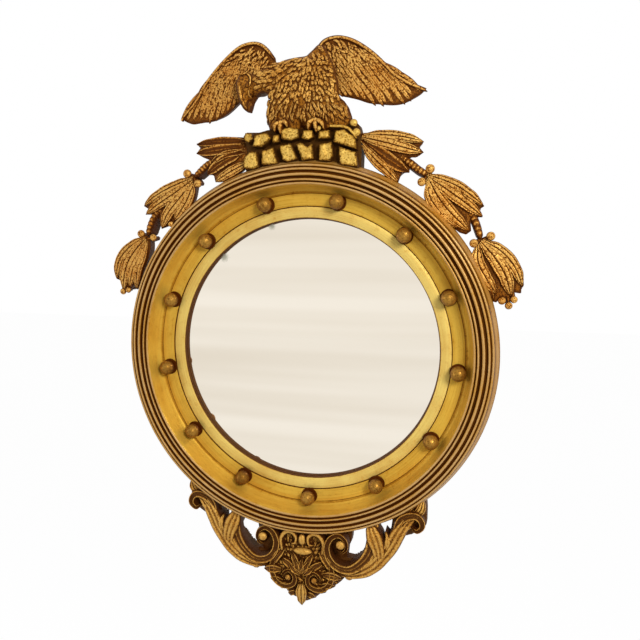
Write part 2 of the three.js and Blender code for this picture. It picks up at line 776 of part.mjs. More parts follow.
/** Centre of the apron: leafy shield with paired scrolls, boss, petals and a pointed tip. */
function apronCartouche() {
  const half = [
    [0, 20], [40, 20], [40, -38], [52, -48], [51, -53], [47, -58.5], [42, -63.5], [37, -66.5],
    [29, -72.5], [22, -74.5], [18.5, -79], [14, -83], [10, -86], [6, -89.5],
  ];
  const outline = [...half, [0.5, -93], ...mirrored(half.slice(1), -1).reverse()];
  const pairs = [1, -1].flatMap((side) => [
    apronStrip(
      [[24.5, -20], [25, -9], [21, -1], [14, 1.5], [8, -2], [6.5, -10]],
      [1.5, 2.2, 2.4, 2.4, 2.2, 1.5],
      { edge: 21, ridge: 25, side },
    ),
    apronStrip(
      [[33, -34], [36, -50], [31, -62], [20, -66]],
      [3, 4, 4, 3],
      { edge: 21, ridge: 27, side, perPoint: 2 },
    ),
    pebble([side * 16, -RIM_R - 52, rebateFloor + 22], [7.5, 7.5, 9], 8),
    apronLeaf([22, -20], [37, -46], 6, side, 27),
    apronLeaf([27, -46], [49, -53], 9, side, 21),
    apronLeaf([3, -50], [14, -24], 7, side, 27),
  ]);
  const boss = pebble([0, -RIM_R - 7, rebateFloor + 16], [5, 6.5, 9], 8);
  const dish = pebble([0, -RIM_R - 24, rebateFloor + 15], [11, 9, 9], 8);
  const tip = apronLeaf([0, -56], [0.5, -92.5], 13, 1, 26);
  const back = slab(raised(outline, -RIM_R), rebateFloor, rebateFloor + SHIELD_H);
  const branchRooms = [1, -1].map((side) =>
    through(raised(mirrored([...APRON_SEAM, [120, -64], [120, 30]], side), -RIM_R)));
  const holes = plateScrews(-1).slice(2)
    .map(([x, y]) => rod(x, y, rebateFloor - 1, rebateFloor + SCREW_L, pilotR));
  return cut(join([back, boss, dish, tip, ...pairs]), [sideCutter(), ...branchRooms, ...holes]);
}

// ---- Fixings --------------------------------------------------------------------------------

/** Round-headed screw, head towards the wall, with the back of its head's underside at z = 0. */
const screw = () =>
  turned([
    [0, -HEAD_H],
    [0.65 * HEAD_R, -0.8 * HEAD_H],
    [HEAD_R, 0],
    [SCREW_R, 0],
    [SCREW_R, SCREW_L - 2],
    [0, SCREW_L - 1],
  ], SCREW_SIDES);

/** Turn button that lies along x, with its pivot at the origin and its inner end at -x. */
function turnButton() {
  const end = BUTTON_W / 2;
  const shape = new THREE.Shape();
  shape.moveTo(-BUTTON_REACH, -0.4 * end);
  shape.lineTo(-BUTTON_REACH + 2, -0.8 * end);
  shape.lineTo(0, -end);
  shape.lineTo(BUTTON_TAIL, -0.6 * end);
  shape.lineTo(BUTTON_TAIL, 0.6 * end);
  shape.lineTo(0, end);
  shape.lineTo(-BUTTON_REACH + 2, 0.8 * end);
  shape.lineTo(-BUTTON_REACH, 0.4 * end);
  const hole = new THREE.Path();
  hole.absarc(0, 0, pilotR, 0, 2 * Math.PI, true);
  shape.holes.push(hole);
  return solid(new THREE.ExtrudeGeometry(shape, { depth: BUTTON_T, bevelEnabled: false, curveSegments: 4 }));
}

/** Mending plate across the seam between the frame and an ornament. */
function mendingPlate(up) {
  const low = up * (RIM_R - PLATE_BELOW_WALL);
  const high = low + up * CREST_PLATE.height;
  const half = CREST_PLATE.width / 2;
  const front = rebateFloor - FIT;
  const back = front - PLATE_T;
  const plate = slab([[-half, low], [half, low], [half, high], [-half, high]], back, front);
  const holes = plateScrews(up).map(([x, y]) => rod(x, y, back - 1, front + 1, pilotR));
  return cut(plate, holes);
}

const eyeR = WIRE_R + WIRE_PLAY + STRAP_T;

/** Strap hanger: a tongue on the frame's back, folded round the D-ring's bar at the origin. */
function strapHanger() {
  const wide = (geometry) => geometry.translate(0, 0, -STRAP_W / 2).rotateY(Math.PI / 2);
  const across = { depth: STRAP_W, bevelEnabled: false, curveSegments: 5 };
  // drawn with x towards the wall and y up
  const eye = new THREE.Shape();
  eye.absarc(0, 0, eyeR, 0, 2 * Math.PI, false);
  const tongue = new THREE.Shape([
    new THREE.Vector2(-eyeR, 0),
    new THREE.Vector2(-eyeR, -STRAP_L),
    new THREE.Vector2(-eyeR + STRAP_T, -STRAP_L),
    new THREE.Vector2(-eyeR + STRAP_T, 0),
  ]);
  const bore = new THREE.Shape();
  bore.absarc(0, 0, WIRE_R + WIRE_PLAY, 0, 2 * Math.PI, false);
  const longBore = { ...across, depth: 2 * STRAP_W };
  const body = join([eye, tongue].map((shape) => solid(wide(new THREE.ExtrudeGeometry(shape, across)))));
  const boring = solid(new THREE.ExtrudeGeometry(bore, longBore)
    .translate(0, 0, -STRAP_W).rotateY(Math.PI / 2));
  const hole = rod(0, -STRAP_HOLE, eyeR - STRAP_T - 1, eyeR + 1, pilotR);
  return cut(body, [boring, hole]);
}

/** D-ring of bent wire, its bar on the x axis and its bow above. */
function dRing() {
  const bow = [
    [FIT / 2, 0], [3, 0], [6.4, 0], [8.8, 1], [RING_HALF, 4], [0.86 * RING_HALF, 9], [5, 12.9],
    [0, RING_H],
  ];
  const left = mirrored(bow.slice(0, -1), -1).reverse();
  const path = new THREE.CatmullRomCurve3([...bow, ...left].map(([x, y]) => new THREE.Vector3(x, y, 0)));
  const section = new THREE.Shape();
  section.absarc(0, 0, WIRE_R, 0, 2 * Math.PI, false);
  const options = { steps: 18, curveSegments: 3, extrudePath: path };
  return solid(new THREE.ExtrudeGeometry(section, options));
}

/** Rubber bumper between the frame and the wall. */
const bumper = () =>
  turned([[0, 0], [BUMPER_R - 0.8, 0], [BUMPER_R, 0.8], [BUMPER_R, WALL_GAP - FIT], [0, WALL_GAP - FIT]], 10);

// ---- Assembly -------------------------------------------------------------------------------

/** Named mesh of a solid, placed in the face frame. */
function piece(name, shape, finishName, x = 0, y = 0, z = 0) {
  const mesh = new THREE.Mesh(geometryOf(shape), FINISHES[finishName]());
  mesh.name = name;
  mesh.position.set(x, y, z);
  return mesh;
}

/** Frame, slip, glass, packing, backboard and balls. */
function frameGroup() {
  const group = new THREE.Group();
  group.add(
    piece('frame_ring', frameRing(), 'paleGilt'),
    piece('slip', slipRing(), 'paleGilt'),
    piece('looking_glass', lookingGlass(), 'mirror'),
    piece('packing_ring', packingRing(), 'felt'),
    piece('backboard', backboard(), 'wood'),
  );
  ballAngles.forEach((deg, i) => {
    const [x, y] = polar(ballR, deg);
    const number = String(i + 1).padStart(2, '0');
    group.add(piece(`ball_${number}`, ball(), 'agedGilt', x, y, lipFront + BAND_RISE - FIT));
  });
  return group;
}

/** Eagle on its rocks, both sprays and the apron. */
function ornamentGroup() {
  const group = new THREE.Group();
  group.add(
    piece('rock_plinth', rockPlinth(), 'gilt'),
    piece('eagle_body', eagleBody(), 'gilt'),
    piece('eagle_left_wing', leftWing(), 'gilt'),
    piece('eagle_right_wing', rightWing(), 'gilt'),
    piece('apron_cartouche', apronCartouche(), 'agedGilt'),
  );
  for (const [side, hand] of [[1, 'right'], [-1, 'left']]) {
    for (const length of SPRAYS) {
      group.add(piece(`spray_${length.name}_${hand}`, sprayLength(length, side), 'gilt'));
    }
    group.add(piece(`apron_branch_${hand}`, apronBranch(side), 'agedGilt'));
  }
  return group;
}

/** Turn buttons, hangers, mending plates, bumpers and all their screws. */
function fixingGroup() {
  const group = new THREE.Group();
  const buttonZ = WALL_GAP - FIT - BUTTON_T;
  buttonAngles.forEach((deg, i) => {
    const [x, y] = polar(buttonPivotR, deg);
    const button = piece(`turn_button_${i + 1}`, turnButton(), 'brass', x, y, buttonZ);
    button.rotation.z = rad(deg);
    group.add(button, piece(`button_screw_${i + 1}`, screw(), 'brass', x, y, buttonZ - FIT));
  });
  hangerAngles.forEach((deg, i) => {
    const hand = i === 0 ? 'right' : 'left';
    const [x, y] = polar(hangerR, deg);
    const z = WALL_GAP - FIT - eyeR;
    const [screwX, screwY] = strapScrewAt(deg);
    group.add(
      piece(`hanger_strap_${hand}`, strapHanger(), 'steel', x, y, z),
      piece(`hanger_ring_${hand}`, dRing(), 'steel', x, y, z),
      piece(`hanger_screw_${hand}`, screw(), 'steel', screwX, screwY, WALL_GAP - 2 * FIT - STRAP_T),
    );
  });
  [[1, 'crest'], [-1, 'apron']].forEach(([up, name]) => {
    group.add(piece(`${name}_plate`, mendingPlate(up), 'steel'));
    plateScrews(up).forEach(([x, y], i) => {
      const z = rebateFloor - 2 * FIT - PLATE_T;
      group.add(piece(`${name}_screw_${i + 1}`, screw(), 'steel', x, y, z));
    });
  });
  bumperAngles.forEach((deg, i) => {
    group.add(piece(`bumper_${i + 1}`, bumper(), 'rubber', ...polar(hangerR, deg)));
  });
  return group;
}

const mirror = new THREE.Group();
mirror.name = 'girandole_mirror';
mirror.add(frameGroup(), ornamentGroup(), fixingGroup());
mirror.rotation.x = Math.PI / 2;

export default mirror;
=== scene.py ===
"""Looks of a girandole mirror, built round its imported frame.

The mirror hangs on the plane y = 0 and faces -Y. New pieces are drawn in millimetres in the face
frame (x to the right, y up, z out from the wall) and turned into the row frame, in metres, at the
end. Places read from the photograph lie on a sight plane, and each is moved to the height of what
it shows, along the camera's line of sight.
"""

from __future__ import annotations

import json
import logging
import math
import random
from dataclasses import dataclass, replace
from enum import Enum
from typing import Callable, Sequence

import bmesh
import bpy
from mathutils import Matrix, Vector, noise

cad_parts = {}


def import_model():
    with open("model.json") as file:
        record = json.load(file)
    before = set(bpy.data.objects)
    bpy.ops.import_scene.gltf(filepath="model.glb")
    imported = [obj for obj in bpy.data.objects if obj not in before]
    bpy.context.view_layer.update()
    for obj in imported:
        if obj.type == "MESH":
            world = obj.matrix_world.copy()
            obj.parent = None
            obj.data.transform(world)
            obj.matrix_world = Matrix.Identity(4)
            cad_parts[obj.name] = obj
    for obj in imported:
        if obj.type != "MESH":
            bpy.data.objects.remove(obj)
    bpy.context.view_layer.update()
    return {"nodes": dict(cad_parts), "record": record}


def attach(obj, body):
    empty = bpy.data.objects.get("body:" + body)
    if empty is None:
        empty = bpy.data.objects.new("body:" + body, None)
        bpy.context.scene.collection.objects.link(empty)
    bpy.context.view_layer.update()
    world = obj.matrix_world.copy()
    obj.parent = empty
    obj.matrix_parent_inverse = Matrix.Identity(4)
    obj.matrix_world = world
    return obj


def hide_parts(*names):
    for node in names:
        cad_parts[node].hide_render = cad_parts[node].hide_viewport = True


LOG = logging.getLogger("girandole")

Point = tuple[float, float]
Triple = tuple[float, float, float]
Colour = tuple[float, float, float]
Ground = Callable[[float, float], float]
Vert = bmesh.types.BMVert

MM = 0.001
FACE_TO_ROW = Matrix(((MM, 0, 0, 0), (0, 0, -MM, 0), (0, MM, 0, 0), (0, 0, 0, 1)))
CAMERA_AT = Vector((167.6, 117.3, 689.3))  # in the face frame
SIGHT_PLANE = 38.0  # distance from the wall at which places were read
BACK = 20.3  # plain backs of the ornaments, a hair inside the frame's own back where they lap
ROOT = "root"


# ---- Shader helpers --------------------------------------------------------------------------


def srgb(red: int, green: int, blue: int) -> Colour:
    """Linear colour of an sRGB colour with channels from 0 to 255."""

    def linear(channel: float) -> float:
        return channel / 12.92 if channel <= 0.04045 else ((channel + 0.055) / 1.055) ** 2.4

    return (linear(red / 255), linear(green / 255), linear(blue / 255))


class Value:
    """A shader socket that takes part in sums."""

    def __init__(self, shader: Shader, socket: bpy.types.NodeSocket) -> None:
        """Wraps one output socket of a shader."""
        self.shader = shader
        self.socket = socket

    def __add__(self, other: Value | float) -> Value:
        """Sum of two values."""
        return self.shader.math("ADD", self, other)

    def __radd__(self, other: float) -> Value:
        """Sum of a number and a value."""
        return self.shader.math("ADD", other, self)

    def __sub__(self, other: Value | float) -> Value:
        """Difference of two values."""
        return self.shader.math("SUBTRACT", self, other)

    def __rsub__(self, other: float) -> Value:
        """A number less a value."""
        return self.shader.math("SUBTRACT", other, self)

    def __mul__(self, other: Value | float) -> Value:
        """Product of two values."""
        return self.shader.math("MULTIPLY", self, other)

    def __truediv__(self, other: Value | float) -> Value:
        """Quotient of two values."""
        return self.shader.math("DIVIDE", self, other)

    def clamped(self) -> Value:
        """The value kept between 0 and 1."""
        return self.shader.math("MINIMUM", self.shader.math("MAXIMUM", self, 0.0), 1.0)

    def between(self, low: float, high: float) -> Value:
        """0 below low, 1 above high and straight in between."""
        return ((self - low) / (high - low)).clamped()


class Shader:
    """The nodes of a material or of the world, written as expressions."""

    def __init__(self, owner: bpy.types.Material | bpy.types.World) -> None:
        """Empties the node tree of a new material or world."""
        self.owner = owner
        owner.use_nodes = True
        self.tree = owner.node_tree
        self.tree.nodes.clear()

    def node(self, kind: str, settings: dict | None = None,
             inputs: dict | None = None) -> bpy.types.Node:
        """Adds a node.

        Args:
            kind: the node's type.
            settings: properties that are set first.
            inputs: values or links of its sockets, by name or number.

        Returns:
            The new node.
        """
        node = self.tree.nodes.new(kind)
        for key, value in (settings or {}).items():
            setattr(node, key, value)
        for key, value in (inputs or {}).items():
            if isinstance(value, Value):
                self.tree.links.new(value.socket, node.inputs[key])
            else:
                node.inputs[key].default_value = value
        return node

    def value(self, kind: str, settings: dict | None = None, inputs: dict | None = None,
              output: int | str = 0) -> Value:
        """Adds a node and wraps one of its outputs."""
        return Value(self, self.node(kind, settings, inputs).outputs[output])

    def math(self, operation: str, first: Value | float, second: Value | float) -> Value:
        """Math node on two values."""
        return self.value("ShaderNodeMath", {"operation": operation}, {0: first, 1: second})

    def mix(self, share: Value | float, first: Value | Colour, second: Value | Colour) -> Value:
        """Colour between two colours."""
        whole = [c if isinstance(c, Value) else (*c, 1.0) for c in (first, second)]
        inputs = {0: share, 6: whole[0], 7: whole[1]}  # 6, 7 and output 2 are the node's colours
        return self.value("ShaderNodeMix", {"data_type": "RGBA"}, inputs, 2)

    def place(self) -> Value:
        """Object coordinates, in metres."""
        return self.value("ShaderNodeTexCoord", output="Object")

    def noise(self, where: Value, scale: float, detail: float = 3.0, rough: float = 0.55) -> Value:
        """Noise from 0 to 1."""
        inputs = {"Vector": where, "Scale": scale, "Detail": detail, "Roughness": rough}
        return self.value("ShaderNodeTexNoise", {}, inputs)

    def stretched(self, where: Value, scale: Triple) -> Value:
        """Coordinates multiplied along each axis."""
        return self.value("ShaderNodeVectorMath", {"operation": "MULTIPLY"}, {0: where, 1: scale})

    def hollows(self, reach_mm: float) -> Value:
        """1 in hollows narrower than a reach, 0 on open surfaces."""
        settings = {"samples": 8, "only_local": True}
        inputs = {"Distance": reach_mm * MM}
        return 1 - self.value("ShaderNodeAmbientOcclusion", settings, inputs, "AO")

    def attribute(self, name: str) -> Value:
        """A number kept at the mesh's points."""
        settings = {"attribute_name": name, "attribute_type": "GEOMETRY"}
        return self.value("ShaderNodeAttribute", settings, output="Fac")

    def bump(self, height: Value, depth_mm: float, strength: float = 1.0) -> Value:
        """Normal of a surface roughened by a height from 0 to 1."""
        inputs = {"Strength": strength, "Distance": depth_mm * MM, "Height": height}
        return self.value("ShaderNodeBump", {}, inputs)

    def looked_at(self) -> Value:
        """1 for what the camera, a reflection or a look through glass meets, 0 for plain light."""
        kinds = ("Is Camera Ray", "Is Glossy Ray", "Is Transmission Ray")
        camera, glossy, passed = (self.value("ShaderNodeLightPath", output=kind) for kind in kinds)
        return self.math("MAXIMUM", self.math("MAXIMUM", camera, glossy), passed)

    def finish(self, **inputs: Value | float | Colour) -> bpy.types.Material:
        """Ends in a Principled shader, whose sockets are named with low lines for spaces."""
        named = {}
        for key, value in inputs.items():
            named[key.replace("_", " ")] = (*value, 1.0) if isinstance(value, tuple) else value
        surface = self.value("ShaderNodeBsdfPrincipled", {}, named)
        self.node("ShaderNodeOutputMaterial", {}, {"Surface": surface})
        return self.owner


# ---- Finishes --------------------------------------------------------------------------------


class Grain(Enum):
    """How the brush or the lathe left its marks on a gilded surface."""

    TURNED = "turned"
    CARVED = "carved"


@dataclass(frozen=True)
class Gilding:
    """Gold leaf or bronze paint over a dark ground, its hollows darkened by dark glaze and by
    painted shade.
    """

    name: str
    gold: Colour
    warm: Colour
    umber_glaze_and_shade: Colour
    rubbed: Colour
    hollow_mm: float = 5.0
    hollow_share: float = 1.0
    warm_share: float = 0.5
    metallic: float = 0.16
    roughness: float = 0.36
    scratched: float = 1.0
    sheen: float = 0.35
    grain: Grain = Grain.CARVED

    def marks(self, shader: Shader, place: Value) -> Value:
        """Fine streaks along the lathe's turn, or the small pits of a cast and rubbed surface."""
        if self.grain is Grain.CARVED:
            return shader.noise(place, 420.0, 4.0, 0.65)
        split = shader.node("ShaderNodeSeparateXYZ", {}, {0: place})
        x, z = Value(shader, split.outputs[0]), Value(shader, split.outputs[2])
        radius = shader.math("SQRT", x * x + z * z, 0.0)
        polar = {0: x / radius * 2.2, 1: z / radius * 2.2, 2: radius * 900.0}
        return shader.noise(shader.value("ShaderNodeCombineXYZ", {}, polar), 1.0, 4.0, 0.6)

    def material(self) -> bpy.types.Material:
        """Builds the material."""
        shader = Shader(bpy.data.materials.new(self.name))
        place = shader.place()
        marks = self.marks(shader, place)
        patches = shader.noise(place, 22.0, 3.0, 0.6).between(0.40, 0.72)
        flecks = shader.noise(place, 160.0, 5.0, 0.7).between(0.56, 0.74)
        scratches = shader.noise(place, 540.0, 2.0, 0.6).between(0.52, 0.62) * self.scratched
        gold = shader.mix(shader.attribute("worn"), self.gold, self.rubbed)
        mottled = (patches * self.warm_share + marks.between(0.35, 0.8) * 0.3).clamped()
        # ambient occlusion darkens the hollows: painted shade, together with the glaze that
        # gathers there
        hollow_glaze_and_shade = (shader.hollows(self.hollow_mm) * 2.6 - 0.25).clamped() * self.hollow_share
        dark = (shader.attribute("glaze_and_shade") * 1.05 + hollow_glaze_and_shade + flecks * 0.25 + scratches * 0.5
                + (marks - 0.5) * 0.4).clamped()
        # half-dark places turn warm and the darkest turn umber: painted shade in two steps, over
        # random warm patches
        leaf = shader.mix((dark.between(0.0, 0.55) + mottled).clamped(), gold, self.warm)
        colour = shader.mix(dark.between(0.25, 0.66), leaf, self.umber_glaze_and_shade)
        return shader.finish(
            Base_Color=colour,
            Metallic=(1 - dark) * self.metallic,
            Roughness=self.roughness + marks * 0.16 + dark * 0.3,
            Specular_IOR_Level=self.sheen,
            Specular_Tint=self.gold,
            Normal=shader.bump(marks + flecks * 0.6 - scratches, 0.3, 0.8),
        )


@dataclass(frozen=True)
class SilveredGlass:
    """Looking glass with faint bands of painted reflection and a little foxing at its edge."""

    name: str
    tint: Colour
    reflection_tone: Colour
    foxing: Colour
    spots: tuple[Triple, ...]

    def spot(self, shader: Shader, place: Value, x: float, y: float, radius: float) -> Value:
        """Ragged round spot, 1 in its middle, at a place of the face frame in millimetres."""
        ends = {0: shader.stretched(place, (1.0, 0.0, 1.0)), 1: (x * MM, 0.0, y * MM)}
        apart = shader.value("ShaderNodeVectorMath", {"operation": "DISTANCE"}, ends, "Value")
        ragged = apart + (shader.noise(place, 500.0, 3.0) - 0.5) * (radius * MM)
        return 1 - ragged.between(0.3 * radius * MM, radius * MM)

    def material(self) -> bpy.types.Material:
        """Builds the material."""
        shader = Shader(bpy.data.materials.new(self.name))
        place = shader.place()
        # horizontal bands of painted reflection over the silvering
        across = shader.stretched(place, (1.2, 1.0, 26.0))
        reflection_bands = shader.noise(across, 1.0, 2.0, 0.5).between(0.35, 0.68)
        silver = shader.mix(reflection_bands * 0.95, self.tint, self.reflection_tone)
        worn = sum((self.spot(shader, place, *spot) for spot in self.spots), 0.0).clamped()
        return shader.finish(
            Base_Color=shader.mix(worn * 0.7, silver, self.foxing),
            Metallic=1.0,
            Roughness=0.035 + worn * 0.4,
            Normal=shader.bump(shader.noise(place, 9.0, 2.0), 0.05, 0.15),
        )


@dataclass(frozen=True)
class PlainMatter:
    """A plain stuff with a grain of its own: wood, felt, metal or rubber."""

    name: str
    light: Colour
    dark: Colour
    grain: Triple
    roughness: float
    metallic: float = 0.0
    depth_mm: float = 0.1

    def material(self) -> bpy.types.Material:
        """Builds the material."""
        shader = Shader(bpy.data.materials.new(self.name))
        place = shader.place()
        grain = shader.noise(shader.stretched(place, self.grain), 1.0, 5.0, 0.6)
        soil = shader.noise(place, 30.0, 3.0).between(0.45, 0.8)
        share = (grain.between(0.3, 0.7) * 0.7 + soil * 0.3).clamped()
        return shader.finish(
            Base_Color=shader.mix(share, self.light, self.dark),
            Metallic=self.metallic,
            Roughness=self.roughness + grain * 0.15,
            Normal=shader.bump(grain, self.depth_mm, 0.6),
        )


# colour of dark glaze and of painted shade on the gilding
UMBER_GLAZE_AND_SHADE = srgb(70, 22, 0)
FRAME_GILDING = Gilding(
    "frame_gilding", srgb(238, 194, 78), srgb(196, 134, 34), UMBER_GLAZE_AND_SHADE, srgb(216, 176, 120),
    hollow_share=0.45, warm_share=0.45, roughness=0.3, scratched=0.12, sheen=0.6,
    grain=Grain.TURNED,
)
SLIP_GILDING = replace(
    FRAME_GILDING, name="slip_gilding", gold=srgb(255, 224, 124), warm=srgb(214, 158, 64),
)
BALL_GILDING = Gilding(
    "ball_gilding", srgb(180, 134, 58), srgb(120, 78, 24), UMBER_GLAZE_AND_SHADE, srgb(180, 134, 58),
    hollow_share=0.8, warm_share=0.8, metallic=0.45, roughness=0.24, scratched=0.6, sheen=0.9,
)
CARVING_GILDING = Gilding(
    "carving_gilding", srgb(246, 194, 104), srgb(188, 110, 22), UMBER_GLAZE_AND_SHADE, srgb(236, 200, 130),
    hollow_mm=3.5, hollow_share=1.15, roughness=0.3, sheen=0.7,
)
BREAST_GILDING = replace(
    CARVING_GILDING, name="breast_gilding", gold=srgb(255, 206, 112), warm=srgb(204, 128, 32),
    hollow_share=0.8,
)
ROCK_GILDING = Gilding(
    "rock_gilding", srgb(248, 208, 108), srgb(204, 148, 52), srgb(58, 24, 4), srgb(240, 204, 120),
    hollow_share=0.45, scratched=0.7, sheen=0.6,
)
APRON_GILDING = Gilding(
    "apron_gilding", srgb(240, 190, 98), srgb(200, 134, 48), srgb(66, 26, 6), srgb(224, 180, 120),
    hollow_mm=3.5, hollow_share=0.75, roughness=0.28, scratched=0.5, sheen=0.8,
)
LOOKING_GLASS = SilveredGlass(
    "looking_glass", srgb(244, 236, 222), srgb(229, 219, 202), srgb(150, 152, 132),
    ((-43.5, 143.5, 5.0), (-103.0, 107.5, 6.5)),
)
WOOD = PlainMatter(
    "backboard_wood", srgb(198, 158, 110), srgb(152, 112, 72), (60.0, 60.0, 4.0), 0.62,
)
FELT = PlainMatter("packing_felt", srgb(96, 94, 88), srgb(66, 64, 60), (900.0,) * 3, 0.9)
STEEL = PlainMatter(
    "zinc_steel", srgb(176, 178, 178), srgb(128, 130, 130), (40.0, 40.0, 600.0), 0.34,
    metallic=0.9, depth_mm=0.03,
)
BRASS = PlainMatter(
    "aged_brass", srgb(190, 156, 88), srgb(130, 98, 50), (300.0,) * 3, 0.32,
    metallic=0.9, depth_mm=0.03,
)
RUBBER = PlainMatter("bumper_rubber", srgb(46, 44, 42), srgb(30, 29, 28), (700.0,) * 3, 0.7)


# ---- Curves and heights ----------------------------------------------------------------------


def on_view(x: float, y: float, level: float) -> Point:
    """Place at a height that the camera sees where (x, y) lies on the sight plane."""
    share = (level - SIGHT_PLANE) / (CAMERA_AT.z - SIGHT_PLANE)
    return (x + share * (CAMERA_AT.x - x), y + share * (CAMERA_AT.y - y))


def smooth(low: float, high: float, value: float) -> float:
    """0 below low, 1 above high, and an S curve in between."""
    t = min(max((value - low) / (high - low), 0.0), 1.0)
    return t * t * (3 - 2 * t)


class Path:
    """Smooth curve through points, run along by its length from 0 to 1."""

    def __init__(self, points: Sequence[Sequence[float]]) -> None:
        """Takes the points that the curve passes."""
        self.points = [Vector(point) for point in points]
        reach = [0.0]
        for first, second in zip(self.points, self.points[1:]):
            reach.append(reach[-1] + max((second - first).length, 1e-6))
        self.stops = [value / reach[-1] for value in reach]

    def at(self, t: float) -> Vector:
        """Point at a share of the length."""
        t = min(max(t, 0.0), 1.0)
        last = len(self.points) - 2
        i = next((k for k in range(last) if t < self.stops[k + 1]), last)
        s = (t - self.stops[i]) / (self.stops[i + 1] - self.stops[i])
        b, c = self.points[i], self.points[i + 1]
        a = self.points[i - 1] if i else b + b - c
        d = self.points[i + 2] if i < last else c + c - b
        return 0.5 * (2 * b + (c - a) * s + (2 * a - 5 * b + 4 * c - d) * s * s
                      + (3 * b - a - 3 * c + d) * s * s * s)

    def side(self, t: float) -> Vector:
        """Unit normal to the left of the curve at a share of the length."""
        along = self.at(min(t + 0.01, 1.0)) - self.at(max(t - 0.01, 0.0))
        return Vector((-along.y, along.x)).normalized()

    def places(self, count: int, inset: float = 0.0) -> list[Point]:
        """Places at equal steps of the length, moved off the curve to its right."""
        shares = [k / count for k in range(count + 1)]
        return [tuple(self.at(share) - self.side(share) * inset) for share in shares]


def through(values: Sequence[float], t: float) -> float:
    """Number at a share of a list of numbers, eased from one to the next."""
    place = min(max(t, 0.0), 1.0) * (len(values) - 1)
    i = min(int(place), len(values) - 2)
    return values[i] + (values[i + 1] - values[i]) * smooth(0.0, 1.0, place - i)


def inside(outline: Sequence[Point], x: float, y: float) -> bool:
    """Whether a point lies within an outline."""
    found = False
    for (x0, y0), (x1, y1) in zip(outline, [*outline[1:], outline[0]]):
        if (y0 > y) != (y1 > y) and x < (x1 - x0) * (y - y0) / (y1 - y0) + x0:
            found = not found
    return found


def box_round(outline: Sequence[Point]) -> tuple[float, float, float, float]:
    """Least x, least y, greatest x and greatest y of an outline."""
    xs, ys = zip(*outline)
    return min(xs), min(ys), max(xs), max(ys)


def nearest_on(outline: Sequence[Point], x: float, y: float) -> Triple:
    """Nearest place on a closed outline, and how far it is."""
    best = (x, y, math.inf)
    for (x0, y0), (x1, y1) in zip(outline, [*outline[1:], outline[0]]):
        dx, dy = x1 - x0, y1 - y0
        span = dx * dx + dy * dy
        t = min(max(((x - x0) * dx + (y - y0) * dy) / span, 0.0), 1.0) if span else 0.0
        px, py = x0 + t * dx, y0 + t * dy
        apart = math.hypot(x - px, y - py)
        if apart < best[2]:
            best = (px, py, apart)
    return best


@dataclass(frozen=True)
class Field:
    """Directions over a carved surface, eased between the places where they are given."""

    stops: tuple[Triple, ...]
    near_mm2: float = 9.0  # keeps a stop from counting for everything close to it
    fading: float = 1.5

    def angle(self, x: float, y: float) -> float:
        """Direction at a place, in radians."""
        total = Vector((0.0, 0.0))
        for stop_x, stop_y, degrees in self.stops:
            weight = 1 / ((x - stop_x) ** 2 + (y - stop_y) ** 2 + self.near_mm2)
            turn = math.radians(degrees)
            total += Vector((math.cos(turn), math.sin(turn))) * weight ** self.fading
        return math.atan2(total.y, total.x)


class Cut(Enum):
    """Shape across a carved blade."""

    ROUND = "round"
    FEATHER = "feather"
    RIBBED = "ribbed"
    RIMMED = "rimmed"
    LEAF = "leaf"

    def height(self, v: float) -> float:
        """Height across the blade, from 0 to 1, at v from -1 to 1."""
        away = abs(v)
        if self is Cut.ROUND:
            return math.sqrt(max(0.0, 1 - away ** 2.2))
        if self is Cut.FEATHER:  # full, with a fine groove for its quill
            return (1 - away ** 3) * 0.82 + 0.18 * smooth(0.0, 0.25, away)
        if self is Cut.RIBBED:  # soft ribs that run along it
            return smooth(1.02, 0.88, away) * (0.84 + 0.16 * math.cos(2 * math.pi * away / 0.62))
        if self is Cut.RIMMED:  # hollow between two raised rims, with a thin rib in the middle
            rims, rib = 0.55 * smooth(0.35, 0.82, away), 0.38 * smooth(0.2, 0.0, away)
            return smooth(1.02, 0.82, away) * (0.45 + rims + rib)
        groove, vein = math.exp(-((away - 0.62) / 0.08) ** 2), math.exp(-(away / 0.07) ** 2)
        return smooth(1.03, 0.86, away) * (1 - 0.24 * groove - 0.42 * vein)

    @property
    def across(self) -> int:
        """Faces across the blade."""
        return {Cut.RIBBED: 20, Cut.RIMMED: 14, Cut.LEAF: 26}.get(self, 8)


# ---- Modelling -------------------------------------------------------------------------------


def neighbours(vert: Vert, among: set[Vert]) -> list[Vert]:
    """Vertices of a set that share an edge with a vertex."""
    return [other for edge in vert.link_edges if (other := edge.other_vert(vert)) in among]


def mean(verts: Sequence[Vert]) -> Vector:
    """Middle of the places of some vertices."""
    return sum((vert.co for vert in verts), Vector()) / len(verts)


